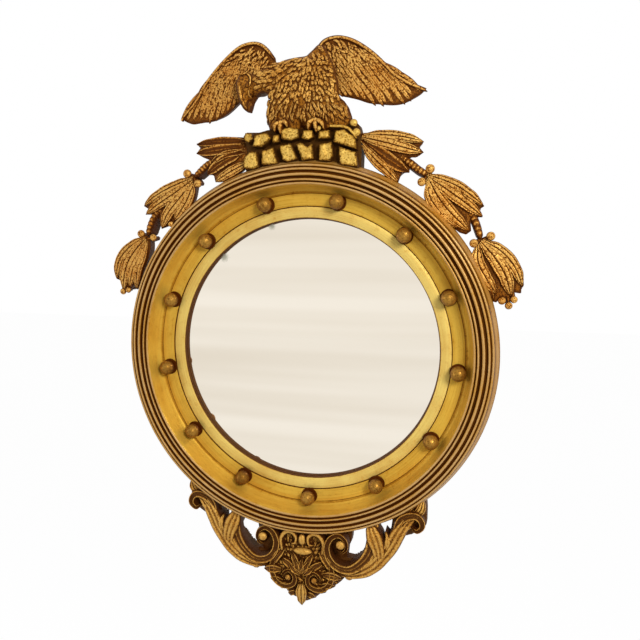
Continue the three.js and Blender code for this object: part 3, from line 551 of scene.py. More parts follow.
class Carving:
    """A mesh in the making, drawn in the face frame in millimetres."""

    DEEP_DRAFT = -1.0  # walls drawn in further than this are evened out at their foot
    EASING = 14  # passes of that, so that narrow tips don't cross over
    BACK_STEP = 0.05  # between the backs of two blades, so that no two lie in one plane
    TIP = 0.1  # share of a blade's length over which its tip rounds off
    TIP_HEIGHT = 0.3  # share of its height that is left at the tip
    RIM_GLAZE_AND_SHADE = 0.5  # darker glaze and painted shade at the outline of a relief
    RIM_GLAZE_AND_SHADE_MM = 2.5
    SCATTER = 0.35  # jitter of a cover's leaves, in steps of their rows

    def __init__(self) -> None:
        """Starts an empty mesh with numbers at each point for dark glaze with painted shade, and
        for wear.
        """
        self.mesh = bmesh.new()
        # dark glaze together with painted shade in hollows, grooves, under parts and at walls
        self.glaze_and_shade = self.mesh.verts.layers.float.new("glaze_and_shade")
        self.worn = self.mesh.verts.layers.float.new("worn")
        self.backs = 0

    def grid(self, columns: int, rows: int, size: float) -> list[Vert]:
        """Adds a flat sheet of faces and gives its vertices."""
        made = bmesh.ops.create_grid(self.mesh, x_segments=columns, y_segments=rows, size=size)
        return made["verts"]

    def close(self, top: list[Vert], floor: Ground, draft: float) -> None:
        """Gives an open sheet its walls and its back.

        Args:
            top: all vertices of the sheet.
            floor: height of the back under a place.
            draft: how far the walls flare outwards at the back.
        """
        sheet = set(top)
        rim = {edge for vert in top for edge in vert.link_edges if len(edge.link_faces) == 1}
        inner = sheet - {vert for edge in rim for vert in edge.verts}
        centre = mean(top)
        made = bmesh.ops.extrude_edge_only(self.mesh, edges=list(rim))["geom"]
        foot = {item for item in made if isinstance(item, Vert)}
        for vert in foot:
            source = neighbours(vert, sheet)[0]
            behind = neighbours(source, inner)
            away = (source.co - (mean(behind) if behind else centre)).to_2d()
            if away.length > 1e-6:
                vert.co += (away.normalized() * draft).to_3d()
        for _ in range(self.EASING if draft < self.DEEP_DRAFT else 0):
            beside = {vert: neighbours(vert, foot) for vert in foot}
            eased = {vert: (vert.co + mean(near)) / 2 for vert, near in beside.items() if near}
            for vert, place in eased.items():
                vert.co = place
        # each wall is darkest at its foot: glaze and painted shade down where it meets what lies
        # behind
        for vert in foot:
            vert.co.z = floor(vert.co.x, vert.co.y)
            vert[self.glaze_and_shade] = 1.0
        lower = [item for item in made if isinstance(item, bmesh.types.BMEdge)]
        open_edges = [edge for edge in lower if len(edge.link_faces) == 1]
        bmesh.ops.edgeloop_fill(self.mesh, edges=open_edges)

    def blade(self, points: Sequence[Point], halves: Sequence[float], crown: Sequence[float],
              drop: float = 2.0, cut: Cut = Cut.FEATHER, steps: int = 12,
              ground: Ground | None = None, sink: float = 2.0, back: float = BACK,
              draft: float = 0.4, waves: int = 0, wave: float = 0.5, shade: float = 0.0,
              view: bool = True) -> None:
        """Adds a carved strip along a curve: a leaf, a feather, a stem or a scroll.

        Args:
            points: the places that its middle line passes.
            halves: half widths along it.
            crown: heights of its middle along it, above the ground where there is one.
            drop: how far its edges lie below its middle.
            cut: its shape across.
            steps: faces along it.
            ground: what it lies on; without one its walls go down to the back.
            sink: how far its walls go into the ground.
            back: height of its back where it has no ground.
            draft: flare of its walls.
            waves: rings or lobes along it.
            wave: height of those rings.
            shade: dark glaze and painted shade all over it.
            view: whether its places were read on the sight plane.
        """
        lift = ground or (lambda x, y: 0.0)
        middle = Path(points).at(0.5)
        level = lift(middle.x, middle.y) + sum(crown) / len(crown)
        path = Path([on_view(*point, level) if view else point for point in points])
        made = self.grid(steps, cut.across, 1.0)
        for vert in made:
            u, v = (vert.co.x + 1) / 2, vert.co.y
            into_tip = max(0.0, u - (1 - self.TIP)) / self.TIP
            end = math.sqrt(max(0.04, 1 - into_tip ** 2))
            half = through(halves, u) * end
            spot = path.at(u) + path.side(u) * (half * v)
            height = cut.height(v) * (self.TIP_HEIGHT + (1 - self.TIP_HEIGHT) * end)
            ripple = wave * (math.cos(2 * math.pi * waves * u) - 1) / 2
            z = lift(spot.x, spot.y) + through(crown, u) - drop * (1 - height) + ripple
            vert.co = (spot.x, spot.y, z)
            # darker towards the edges and in the troughs between rings: glaze and painted shade in
            # the creases
            glaze_and_shade = shade + 1.15 * (1 - height) ** 0.95 - 0.5 * ripple / wave
            vert[self.glaze_and_shade] = min(1.0, glaze_and_shade)
        if ground:
            self.close(made, lambda x, y: ground(x, y) - sink, 0.0)
        else:
            self.backs += 1
            self.close(made, lambda x, y: back + self.BACK_STEP * self.backs, draft)

    def relief(self, outline: Sequence[Point], ground: Ground, cell: float = 2.0,
               level: float | None = None, back: float | Ground = BACK, draft: float = 0.6,
               edge: float = 1.5, shade: float = 0.6) -> None:
        """Adds a plate with an outline and a shaped front.

        Args:
            outline: places round the plate.
            ground: height of its front over a place.
            cell: size of its faces.
            level: height at which its places were read; without one they are taken as they are.
            back: height of its back, the same all over or given by place.
            draft: flare of its walls.
            edge: how far its front rounds off at its outline.
            shade: dark glaze and painted shade over its front.
        """
        loop = [on_view(*point, level) if level else point for point in outline]
        left, bottom, right, top = box_round(loop)
        width, height = right - left, top - bottom
        made = self.grid(max(2, round(width / cell)), max(2, round(height / cell)), 0.5)
        for vert in made:
            vert.co.x = left + (vert.co.x + 0.5) * width
            vert.co.y = bottom + (vert.co.y + 0.5) * height
        faces = {face for vert in made for face in vert.link_faces}
        loose = [face for face in faces if not inside(loop, *face.calc_center_median().xy)]
        for _ in range(2):  # first all faces outside, then those that hang on by a corner
            bmesh.ops.delete(self.mesh, geom=loose, context="FACES")
            made = [vert for vert in made if vert.is_valid and vert.link_faces]
            pinched = [vert for vert in made
                       if sum(len(side.link_faces) == 1 for side in vert.link_edges) > 2]
            loose = list({face for vert in pinched for face in vert.link_faces})
        for vert in made:
            near_x, near_y, depth = nearest_on(loop, vert.co.x, vert.co.y)
            if any(len(side.link_faces) == 1 for side in vert.link_edges):
                vert.co.x, vert.co.y, depth = near_x, near_y, 0.0
            fall = (1 - smooth(0.0, 2.2 * edge, depth)) * edge
            vert.co.z = ground(vert.co.x, vert.co.y) - fall
            rim = 1 - smooth(0.0, self.RIM_GLAZE_AND_SHADE_MM, depth)
            vert[self.glaze_and_shade] = min(1.0, shade + self.RIM_GLAZE_AND_SHADE * rim)
        self.close(made, back if callable(back) else (lambda x, y: back), draft)

    def cover(self, grows: Callable[[float, float], bool], box: Sequence[float], field: Field,
              ground: Ground, length: float, half: float, lift: float = 1.6, seed: int = 1,
              cut: Cut = Cut.ROUND) -> None:
        """Covers a region with short pointed feathers or leaf tips that lap over each other.

        Args:
            grows: whether they grow at a place.
            box: least x, least y, greatest x and greatest y of the region.
            field: which way they point.
            ground: what they lie on.
            length: their length.
            half: their half width.
            lift: height of their fullest part.
            seed: start of the jitter.
            cut: their shape across.
        """
        dice = random.Random(seed)
        left, bottom, right, top = box
        across, along = 1.75 * half, 0.62 * length
        for row in range(int((top - bottom) / along) + 1):
            for column in range(int((right - left) / across) + 1):
                shift = 0.5 * (row % 2) + dice.uniform(-self.SCATTER, self.SCATTER)
                x = left + (column + shift) * across
                y = top - (row + dice.uniform(-self.SCATTER, self.SCATTER)) * along
                turn = field.angle(x, y) + dice.uniform(-0.45, 0.45)
                way = Vector((math.cos(turn), math.sin(turn)))
                reach = length * dice.uniform(0.7, 1.3)
                bend = dice.uniform(-0.12, 0.12) * reach
                root = Vector((x, y)) - way * 0.5 * reach
                tip = root + way * reach
                if not (grows(*root) and grows(*tip)):
                    continue
                middle = (root + tip) / 2 + Vector((-way.y, way.x)) * bend
                wide = half * dice.uniform(0.8, 1.15)
                self.blade(
                    [tuple(root), tuple(middle), tuple(tip)],
                    (wide * 0.5, wide, wide * 0.95, wide * 0.3),
                    (0.1, lift * 0.7, lift, lift * 0.6), drop=lift, cut=cut, steps=6,
                    ground=ground, sink=1.0, view=False)

    def ball(self, centre: Sequence[float], radii: Sequence[float], shade: float = 0.0,
             view: bool = True, sides: int = 20) -> None:
        """Adds an egg shape, darker towards its back with painted shade.

        Args:
            centre: its centre.
            radii: its half axes.
            shade: dark glaze and painted shade over its front.
            view: whether its centre was read on the sight plane.
            sides: faces round it.
        """
        x, y, z = centre
        if view:
            x, y = on_view(x, y, z + radii[2] * 0.5)
        made = bmesh.ops.create_uvsphere(
            self.mesh, u_segments=sides, v_segments=max(8, sides // 2 + 2), radius=1.0)["verts"]
        for vert in made:
            # painted shade over the back half
            low = 1 - smooth(-0.4, 0.5, vert.co.z)
            vert[self.glaze_and_shade] = min(1.0, shade + 0.9 * low)
            vert.co = (x + vert.co.x * radii[0], y + vert.co.y * radii[1],
                       z + vert.co.z * radii[2])

    def turned(self, profile: Sequence[Triple], steps: int = 240, closed: bool = True,
               worn_from: float = math.inf) -> None:
        """Spins a profile about the z axis.

        Args:
            profile: radius, height, and glaze with painted shade, of its points.
            steps: faces round it.
            closed: whether its last point is joined to its first.
            worn_from: radius past which it is rubbed bright.
        """
        verts = []
        for radius, height, glaze_and_shade in profile:
            vert = self.mesh.verts.new((radius, 0.0, height))
            vert[self.glaze_and_shade] = glaze_and_shade
            vert[self.worn] = float(radius > worn_from)
            verts.append(vert)
        pairs = list(zip(verts, verts[1:])) + ([(verts[-1], verts[0])] if closed else [])
        edges = [self.mesh.edges.new(pair) for pair in pairs]
        bmesh.ops.spin(self.mesh, geom=[*verts, *edges], cent=(0, 0, 0), axis=(0, 0, 1),
                       angle=2 * math.pi, steps=steps, use_merge=True, use_duplicate=False)
        bmesh.ops.remove_doubles(self.mesh, verts=self.mesh.verts[:], dist=1e-4)

    def object(self, name: str, slot: str, material: bpy.types.Material, nodes: Sequence[str],
               body: str = ROOT, sharp_deg: float = 48.0) -> bpy.types.Object:
        """Ends the mesh as a piece of the mirror.

        Args:
            name: the piece's name.
            slot: the record's material slot; not used.
            material: its finish.
            nodes: the nodes that it stands for.
            body: the body that it rides on.
            sharp_deg: angle past which an edge stays sharp.

        Returns:
            The new object.
        """
        bmesh.ops.recalc_face_normals(self.mesh, faces=self.mesh.faces[:])
        self.mesh.transform(FACE_TO_ROW)
        for face in self.mesh.faces:
            face.smooth = len(face.verts) < 5  # the plain backs stay flat
        data = bpy.data.meshes.new(name)
        self.mesh.to_mesh(data)
        self.mesh.free()
        data.set_sharp_from_angle(angle=math.radians(sharp_deg))
        data.materials.append(material)
        piece = bpy.data.objects.new(name, data)
        bpy.context.scene.collection.objects.link(piece)
        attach(piece, body)
        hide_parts(*nodes)
        LOG.info("%s: %d faces", name, len(data.polygons))
        return piece


# ---- Turned pieces ---------------------------------------------------------------------------


@dataclass
class TurnedFrame:
    """Frame, slip and glass, as radii and heights in millimetres."""

    rim_r: float = 215.6
    slope_r: float = 209.6
    crest_r: float = 187.6
    cove_r: float = 181.2
    lip_r: float = 166.0
    sight_r: float = 153.0
    rabbet_r: float = 169.0
    ledge_r: float = 174.3
    rebate_r: float = 203.0
    wall_gap: float = 6.0
    board_front: float = 11.0
    rebate_floor: float = 20.0
    side_top: float = 38.0
    slope_top: float = 52.4
    lip_under: float = 22.3
    lip_front: float = 28.0
    fit: float = 0.3
    reed_widths: tuple[float, ...] = (3.3, 4.3, 6.0, 4.6, 3.8)
    reed_tops: tuple[float, ...] = (54.2, 55.8, 56.8, 56.3, 54.9)
    reed_foot: float = 1.6  # how far the first reed's foot lies below its top
    groove_depths: tuple[float, ...] = (1.3, 3.2, 3.2, 1.6)
    groove_halves: tuple[float, ...] = (0.45, 1.05, 1.05, 0.5)
    groove_lap: float = 0.55  # share of a groove's depth at which the reeds beside it end

    def reeds(self) -> list[Triple]:
        """Profile over the reeds, from the cove outwards, with dark glaze and painted shade down
        in the grooves.
        """
        points = []
        start = self.crest_r
        low = self.reed_tops[0] - self.reed_foot
        for i, (width, top) in enumerate(zip(self.reed_widths, self.reed_tops)):
            last = i == len(self.reed_widths) - 1
            before = self.groove_halves[i - 1] if i else 0.0
            after = 0.0 if last else self.groove_halves[i]
            left, right = start + before, start + width - after
            end = self.slope_top + 0.6 if last else top - self.groove_lap * self.groove_depths[i]
            for k in range(9):
                t = k / 8
                base = low + (end - low) * t
                arch = math.sin(math.pi * t) ** 0.62
                # painted shade towards each reed's edges, kept light on the first reed's inner
                # side
                shade = (0.15 if i == 0 and k < 4 else 0.9) * (1 - arch) ** 1.4
                points.append((left + (right - left) * t, base + (top - base) * arch, shade))
            start += width
            if not last:
                floor = top - self.groove_depths[i]
                points += [(start + side * 0.5 * after, floor, 1.0) for side in (-1, 1)]
                low = self.reed_tops[i + 1] - self.groove_lap * self.groove_depths[i]
        return points

    def cove(self) -> list[Triple]:
        """Profile up the cove, from the band to the first reed."""
        foot = self.lip_front + 2.2
        rise, run = self.reed_tops[0] - self.reed_foot - foot, self.crest_r - self.cove_r
        points = []
        for k in range(13):
            angle = 0.5 * math.pi * k / 12
            place = (self.cove_r + run * math.sin(angle), foot + rise * (1 - math.cos(angle)))
            # darker at the cove's foot: painted shade in the crease by the band
            points.append((*place, 0.35 * smooth(3, 0, k)))
        return points

    def ring(self) -> list[Triple]:
        """Whole closed profile of the frame."""
        inner, lip, under = self.lip_r, self.lip_front, self.lip_under
        slope, rim, side = self.slope_r, self.rim_r, self.side_top
        floor, gap = self.rebate_floor, self.wall_gap
        board = self.board_front + self.fit
        # dark lines at the lip's quirk and at the step before the cove: painted shade in narrow
        # gaps
        face = [
            (inner, lip - 0.5, 0.9), (inner + 0.5, lip, 0.1), (inner + 3.0, lip + 0.35, 0.0),
            (inner + 7.6, lip + 1.0, 0.0), (self.cove_r - 1.6, lip + 1.8, 0.0),
            (self.cove_r - 1.1, lip + 1.6, 0.8), (self.cove_r - 0.7, lip + 1.9, 0.3),
        ]
        outside = [
            (slope, self.slope_top, 0.6), (slope + 2.2, self.slope_top - 5.6, 0.15),
            (slope + 4.4, side + 4.0, 0.2), (rim - 0.3, side + 0.6, 0.4), (rim, side, 0.5),
            (rim, floor + 1, 0.6), (rim - 0.5, floor, 0.6), (self.rebate_r, floor, 0.6),
            (self.rebate_r, gap + 0.6, 0.6), (self.rebate_r - 0.6, gap, 0.6),
        ]
        inside_back = [
            (self.ledge_r, gap, 0.6), (self.ledge_r, board, 0.6), (self.rabbet_r, board, 0.6),
            (self.rabbet_r, under, 0.6), (inner, under, 0.9),
        ]
        return [*face, *self.cove(), *self.reeds(), *outside, *inside_back]

    def slip(self) -> list[Triple]:
        """Closed profile of the slip, with its inner edge left black."""
        sight, back, foot = self.sight_r, self.glass_at(self.sight_r) + self.fit, 18.0
        edge, front = back + 5.0, self.lip_front - 0.8
        outer, reach = self.lip_r - self.fit, self.rabbet_r - self.fit
        flange = self.lip_under - self.fit
        # darker at the outer edge: painted shade in the gap by the frame's lip
        return [
            (sight, back, 1.0), (sight, edge - 0.5, 1.0), (sight + 0.25, edge, 0.55),
            (sight + 0.9, edge + 0.35, 0.0), (sight + 6.0, (edge + front) / 2 + 0.2, 0.0),
            (outer - 0.8, front, 0.0), (outer, front - 0.5, 0.7), (outer, flange, 1.0),
            (reach, flange, 1.0), (reach, foot, 1.0), (self.glass_edge, foot, 1.0),
        ]

    @property
    def glass_edge(self) -> float:
        """Radius of the glass."""
        return self.rabbet_r - 0.8

    def glass_at(self, radius: float) -> float:
        """Height of the glass's front at a radius."""
        bulge, rim = 10.0, 17.7
        sphere = (self.glass_edge ** 2 + bulge ** 2) / (2 * bulge)
        return rim + bulge - sphere + math.sqrt(sphere ** 2 - radius ** 2)

    def glass(self) -> list[Triple]:
        """Profile of the convex glass, from the middle of its front to the middle of its back."""
        thick, steps = 4.0, 24
        radii = [self.glass_edge * k / steps for k in range(steps + 1)]
        front = [(radius, self.glass_at(radius), 0.0) for radius in radii]
        return [*front, *((radius, height - thick, 0.0) for radius, height, _ in reversed(front))]

    def build(self) -> None:
        """Makes the frame, the slip and the glass."""
        pieces = (
            ("frame_moulding", FRAME_GILDING, "frame_ring", self.ring(),
             {"worn_from": self.crest_r}),
            ("slip_moulding", SLIP_GILDING, "slip", self.slip(), {}),
            ("convex_glass", LOOKING_GLASS, "looking_glass", self.glass(),
             {"steps": 160, "closed": False}),
        )
        for name, finish, node, profile, settings in pieces:
            carving = Carving()
            carving.turned(profile, **settings)
            carving.object(name, finish.name, finish.material(), [node], sharp_deg=60)


@dataclass
class CoveBalls:
    """The balls that stand in the cove."""

    count: int = 13
    start_deg: float = 105.6
    ring_r: float = 173.4
    radius: float = 8.5
    seat: float = 30.0
    neck_r: float = 3.4
    shadow_ring_r: float = 9.6

    def build(self) -> None:
        """Makes each ball on its short neck, in a dark ring that is a painted shadow on the cove.
        """
        gilding = BALL_GILDING.material()
        shapes = (
            (self.radius, (self.radius,) * 3, 0.0, 32),
            # a dark neck and a flat, fully dark ring under the ball: painted shade and painted
            # shadow
            (0.6, (self.neck_r, self.neck_r, 2.2), 0.8, 16),
            (-0.3, (self.shadow_ring_r, self.shadow_ring_r, 0.8), 1.0, 28),
        )
        for i in range(self.count):
            angle = math.radians(self.start_deg + 360 * i / self.count)
            x, y = self.ring_r * math.cos(angle), self.ring_r * math.sin(angle)
            carving = Carving()
            for height, radii, shade, sides in shapes:
                carving.ball((x, y, self.seat + height), radii, shade, view=False, sides=sides)
            number = f"{i + 1:02d}"
            carving.object(f"gilt_ball_{number}", "ball_gilding", gilding, [f"ball_{number}"])


# ---- Ornaments -------------------------------------------------------------------------------


class Side(Enum):
    """Which half of the mirror a piece hangs on, as its viewer sees it."""

    LEFT = -1
    RIGHT = 1

    @property
    def word(self) -> str:
        """The side's name in a node."""
        return self.name.lower()


@dataclass(frozen=True)
class Lump:
    """A rounded swelling of a carved body."""

    x: float
    y: float
    half_x: float
    half_y: float
    turn_deg: float
    top: float

    def height(self, x: float, y: float, base: float) -> float:
        """Height above the base at a place."""
        turn = math.radians(self.turn_deg)
        dx, dy = x - self.x, y - self.y
        across = (dx * math.cos(turn) + dy * math.sin(turn)) / self.half_x
        along = (dy * math.cos(turn) - dx * math.sin(turn)) / self.half_y
        return (self.top - base) * math.sqrt(max(0.0, 1 - across * across - along * along))


@dataclass(frozen=True)
class Modelled:
    """Ground made of lumps that run into each other."""

    lumps: tuple[Lump, ...]
    base: float
    blend: float = 5.0

    def __call__(self, x: float, y: float) -> float:
        """Height over a place."""
        total = sum(lump.height(x, y, self.base) ** self.blend for lump in self.lumps)
        return self.base + total ** (1 / self.blend)


@dataclass
class Wing:
    """One wing: a plate, rows of feathers that lap like shingles, and a smooth leading rim."""

    side: Side
    upper: tuple[Point, ...]
    inner: tuple[Point, ...]
    roots: tuple[Point, ...]
    tips: tuple[Point, ...]
    base: float = 33.0
    swell: float = 3.0
    rows: tuple[tuple[float, float, int], ...] = (  # share at root and at tip, and feathers
        (0.44, 1.00, 13), (0.32, 0.80, 14), (0.20, 0.58, 14), (0.08, 0.42, 13),
    )
    hem: float = 0.975
    covert_end: float = 0.46
    least_half: float = 1.5
    most_half: float = 4.6
    field: tuple[Triple, ...] = ()
    bow: float = 0.05

    def ground(self, x: float, y: float) -> float:
        """Front of the plate, which swells towards the shoulder."""
        shoulder = on_view(*self.upper[len(self.upper) * 2 // 3], self.base)
        away = math.hypot(x - shoulder[0], y - shoulder[1])
        return self.base + self.swell * (1 - smooth(10.0, 85.0, away))

    def feather(self, carving: Carving, start: Vector, end: Vector, half: float,
                tilt: float) -> None:
        """Adds one feather from its root to its tip."""
        along = end - start
        middle = (start + end) / 2 + Vector((-along.y, along.x)) * self.bow * self.side.value
        carving.blade(
            [tuple(start), tuple(middle), tuple(end)],
            (half * 0.8, half * 1.05, half * 1.1, half * 0.6),
            (0.3, 0.8 + tilt * 0.5, 1.2 + tilt, 0.8 + tilt), drop=1.8, steps=9,
            ground=self.ground, sink=1.5)

    def fanned(self, share: float, reach: float) -> Vector:
        """Place between the roots and the tips of the feathers."""
        return Path(self.roots).at(share).lerp(Path(self.tips).at(share), reach)

    def line(self, count: int, reach: float) -> list[Point]:
        """Line across the feathers, from the wing's end inwards."""
        return [tuple(self.fanned(k / count, reach)) for k in reversed(range(count + 1))]

    def lay_feathers(self, carving: Carving) -> None:
        """Adds the rows of long feathers, the longest first."""
        dice = random.Random(7)
        for row, (start, end, count) in enumerate(self.rows):
            middle = (start + end) / 2
            for k in range(count):
                stagger = 0.3 if row % 2 == 0 else 0.8
                share = (k + stagger + dice.uniform(-0.22, 0.22)) / count
                if share > 1:
                    continue
                before, after = share - 0.5 / count, share + 0.5 / count
                half = 0.5 * (self.fanned(before, middle) - self.fanned(after, middle)).length
                low = start + dice.uniform(-0.05, 0.05)
                high = min(end + dice.uniform(-0.07, 0.03), 1.0)
                self.feather(carving, self.fanned(share, low), self.fanned(share, high),
                             min(max(half, self.least_half), self.most_half), 0.3 * row)

    def build(self, material: bpy.types.Material) -> None:
        """Makes the wing."""
        carving = Carving()
        rim = Path(self.upper)
        outline = [*rim.places(40), *self.inner, *self.line(30, self.hem)]
        # the plate is darker: painted shade in the gaps between the feathers
        carving.relief(outline, self.ground, cell=1.6, level=self.base + 2, draft=-3.0, shade=0.5)
        self.lay_feathers(carving)
        coverts = [*rim.places(30, 4.0), *self.line(20, self.covert_end)]
        region = [on_view(*place, self.base + 3) for place in coverts]
        carving.cover(lambda x, y: inside(region, x, y), box_round(region), Field(self.field),
                      lambda x, y: self.ground(x, y) + 0.6, 7.5, 1.9, seed=3)
        carving.blade(rim.places(14, 2.1), (1.4, 1.9, 2.0, 2.0, 1.7), (2.0, 2.8, 3.0, 2.9, 2.4),
                      drop=2.4, cut=Cut.ROUND, steps=44, ground=self.ground)
        carving.object(f"eagle_wing_{self.side.word}", "carving_gilding", material,
                       [f"eagle_{self.side.word}_wing"])


LEFT_WING = Wing(
    side=Side.LEFT,
    upper=((-149.5, 265), (-143, 273), (-131, 285), (-119, 303), (-105, 318), (-90, 331),
           (-75, 341), (-61, 344), (-50, 342), (-41, 335), (-33.5, 325)),
    inner=((-33, 318), (-42, 304)),
    roots=((-99, 321), (-90, 328), (-81, 333), (-71, 337), (-61, 338), (-51, 333), (-41, 320)),
    tips=((-149, 264), (-141, 259.5), (-133, 257), (-122, 258.5), (-113, 258.5), (-104, 261.5),
          (-97, 264), (-88, 270), (-78, 278.5), (-64, 289)),
    field=((-120, 296, 232), (-95, 322, 228), (-70, 338, 222), (-50, 330, 245),
           (-80, 300, 232)),
)
RIGHT_WING = Wing(
    side=Side.RIGHT,
    upper=((12, 335), (20, 342.5), (33, 345.3), (47, 342.5), (60, 336), (75, 325), (88, 312.5),
           (97, 303.5), (110, 294.5), (124, 288), (132, 284.5)),
    inner=(),
    roots=((12, 312), (14, 323), (18, 331), (24, 336), (33, 338.5), (45, 337), (60, 329)),
    tips=((40, 281), (50, 278.5), (60, 275.5), (72, 271), (85, 269), (98, 267.5), (110, 269.5),
          (122, 275.5), (128, 279), (132, 283)),
    field=((30, 320, 285), (45, 335, 310), (70, 322, 318), (100, 297, 328), (60, 300, 300)),
)


@dataclass
class EagleBody:
    """Head, neck, breast and thighs of the eagle, covered with short pointed feathers."""

    base: float = 35.0
    outline: tuple[Point, ...] = (
        (-33, 324), (-20, 325.5), (0, 327.5), (7, 333), (12, 338), (20, 336), (30, 318),
        (36, 298), (37, 282), (43, 277), (48, 270), (51, 261), (52, 248), (20, 246), (-20, 246),
        (-44, 249), (-46, 260), (-43, 270), (-41, 280), (-42, 288), (-50, 290.5), (-57, 287.5),
        (-61.5, 281), (-63.5, 274.5), (-65, 270.5), (-68, 270), (-71.5, 273), (-74.5, 278.5),
        (-77, 285), (-79.5, 293), (-79, 302), (-75.5, 308.5), (-68, 312.5), (-56, 312),
        (-45, 317),
    )
    lumps: tuple[Lump, ...] = (
        Lump(-3, 290, 46, 36, -8, 51), Lump(-40, 303, 34, 16, 14, 48),
        Lump(-70, 298, 14, 17, 0, 50), Lump(-70.5, 280, 9, 15, 14, 48),
        Lump(22, 312, 26, 30, 30, 44), Lump(-24, 266, 22, 26, 10, 48),
        Lump(22, 264, 32, 24, -14, 49),
    )
    field: Field = Field((
        (-58, 300, 185), (-35, 309, 192), (-10, 314, 215), (12, 325, 300), (28, 316, 318),
        (-22, 292, 240), (0, 288, 268), (24, 290, 300), (-35, 268, 258), (-10, 262, 268),
        (15, 262, 282), (42, 264, 300),
    ))
    skirt_top: float = 277.0

    def feathered(self, x: float, y: float) -> bool:
        """Whether feathers grow at a place: on the body, but not on the bare face."""
        if not inside(self.outline, x, y) or x < -58.5 or y <= 250:
            return False
        return y < 312 or nearest_on(self.outline, x, y)[2] > 3.0

    def head(self, carving: Carving, ground: Ground) -> None:
        """Adds the brow, the cheek, the slit of the beak, the beak's ridge and the eye."""
        strokes = (
            (((-74, 308.5), (-67, 311), (-62.5, 306), (-62.5, 300), (-65.5, 295)),
             (0.5, 1.0, 1.2, 1.1, 0.5), (0.6, 1.6, 2.0, 1.8, 0.9), 1.2, 16, 0.0),
            (((-65, 293), (-65.5, 288), (-63, 284)),
             (0.6, 1.3, 0.5), (0.5, 1.2, 0.5), 1.0, 8, 0.0),
            # the slit of the beak is a fully dark strip: painted shade in the groove
            (((-61, 290), (-65.5, 284), (-67, 278), (-67, 273)),
             (0.5, 0.8, 0.8, 0.5), (0.3, 0.5, 0.5, 0.3), 0.3, 10, 1.0),
            (((-75.5, 297), (-74, 287), (-71, 279), (-68, 273)),
             (1.2, 2.0, 1.6, 0.8), (0.5, 1.3, 1.2, 0.8), 1.2, 14, 0.1),
        )
        for points, halves, crown, drop, steps, shade in strokes:
            carving.blade(points, halves, crown, drop=drop, cut=Cut.ROUND, steps=steps,
                          ground=ground, shade=shade)
        carving.ball((-66.5, 298.5, 48.6), (2.0, 2.6, 1.6), 0.5, sides=16)

    def foot(self, carving: Carving, ankle: Point, toes: Sequence[Point]) -> None:
        """Adds a foot whose toes grip the rock."""
        for toe in toes:
            knee = ((ankle[0] + toe[0]) / 2 + (toe[0] - ankle[0]) * 0.25,
                    (ankle[1] + toe[1]) / 2 + 1.5)
            # shade below zero makes the toes lighter: a painted highlight
            carving.blade([ankle, knee, toe], (3.0, 2.7, 1.2), (51.5, 55.5, 51.5), drop=3.5,
                          cut=Cut.ROUND, steps=10, back=40, waves=3, shade=-0.35)

    def build(self, material: bpy.types.Material) -> None:
        """Makes the body."""
        carving = Carving()
        ground = Modelled(self.lumps, self.base)
        # the plate is darker: glaze and painted shade in the gaps between the feathers
        carving.relief(self.outline, ground, cell=1.5, level=46, draft=-4.0, shade=0.4,
                       back=lambda x, y: BACK + 16 * smooth(-50.0, -57.0, x))
        box = (-60, 246, 54, 340)
        carving.cover(
            lambda x, y: self.feathered(x, y) and y > self.skirt_top - 6, box, self.field,
            ground, 8.5, 2.3, 1.8, seed=11, cut=Cut.FEATHER)
        carving.cover(
            lambda x, y: self.feathered(x, y) and y < self.skirt_top, box, self.field,
            ground, 13.0, 1.9, 2.2, seed=12, cut=Cut.FEATHER)
        self.head(carving, ground)
        self.foot(carving, (-27, 258), ((-36, 247.5), (-29, 245), (-21, 252)))
        self.foot(carving, (10, 259), ((3, 248), (12, 245.5), (21, 248)))
        carving.object("eagle_carving", "carving_gilding", material, ["eagle_body"])


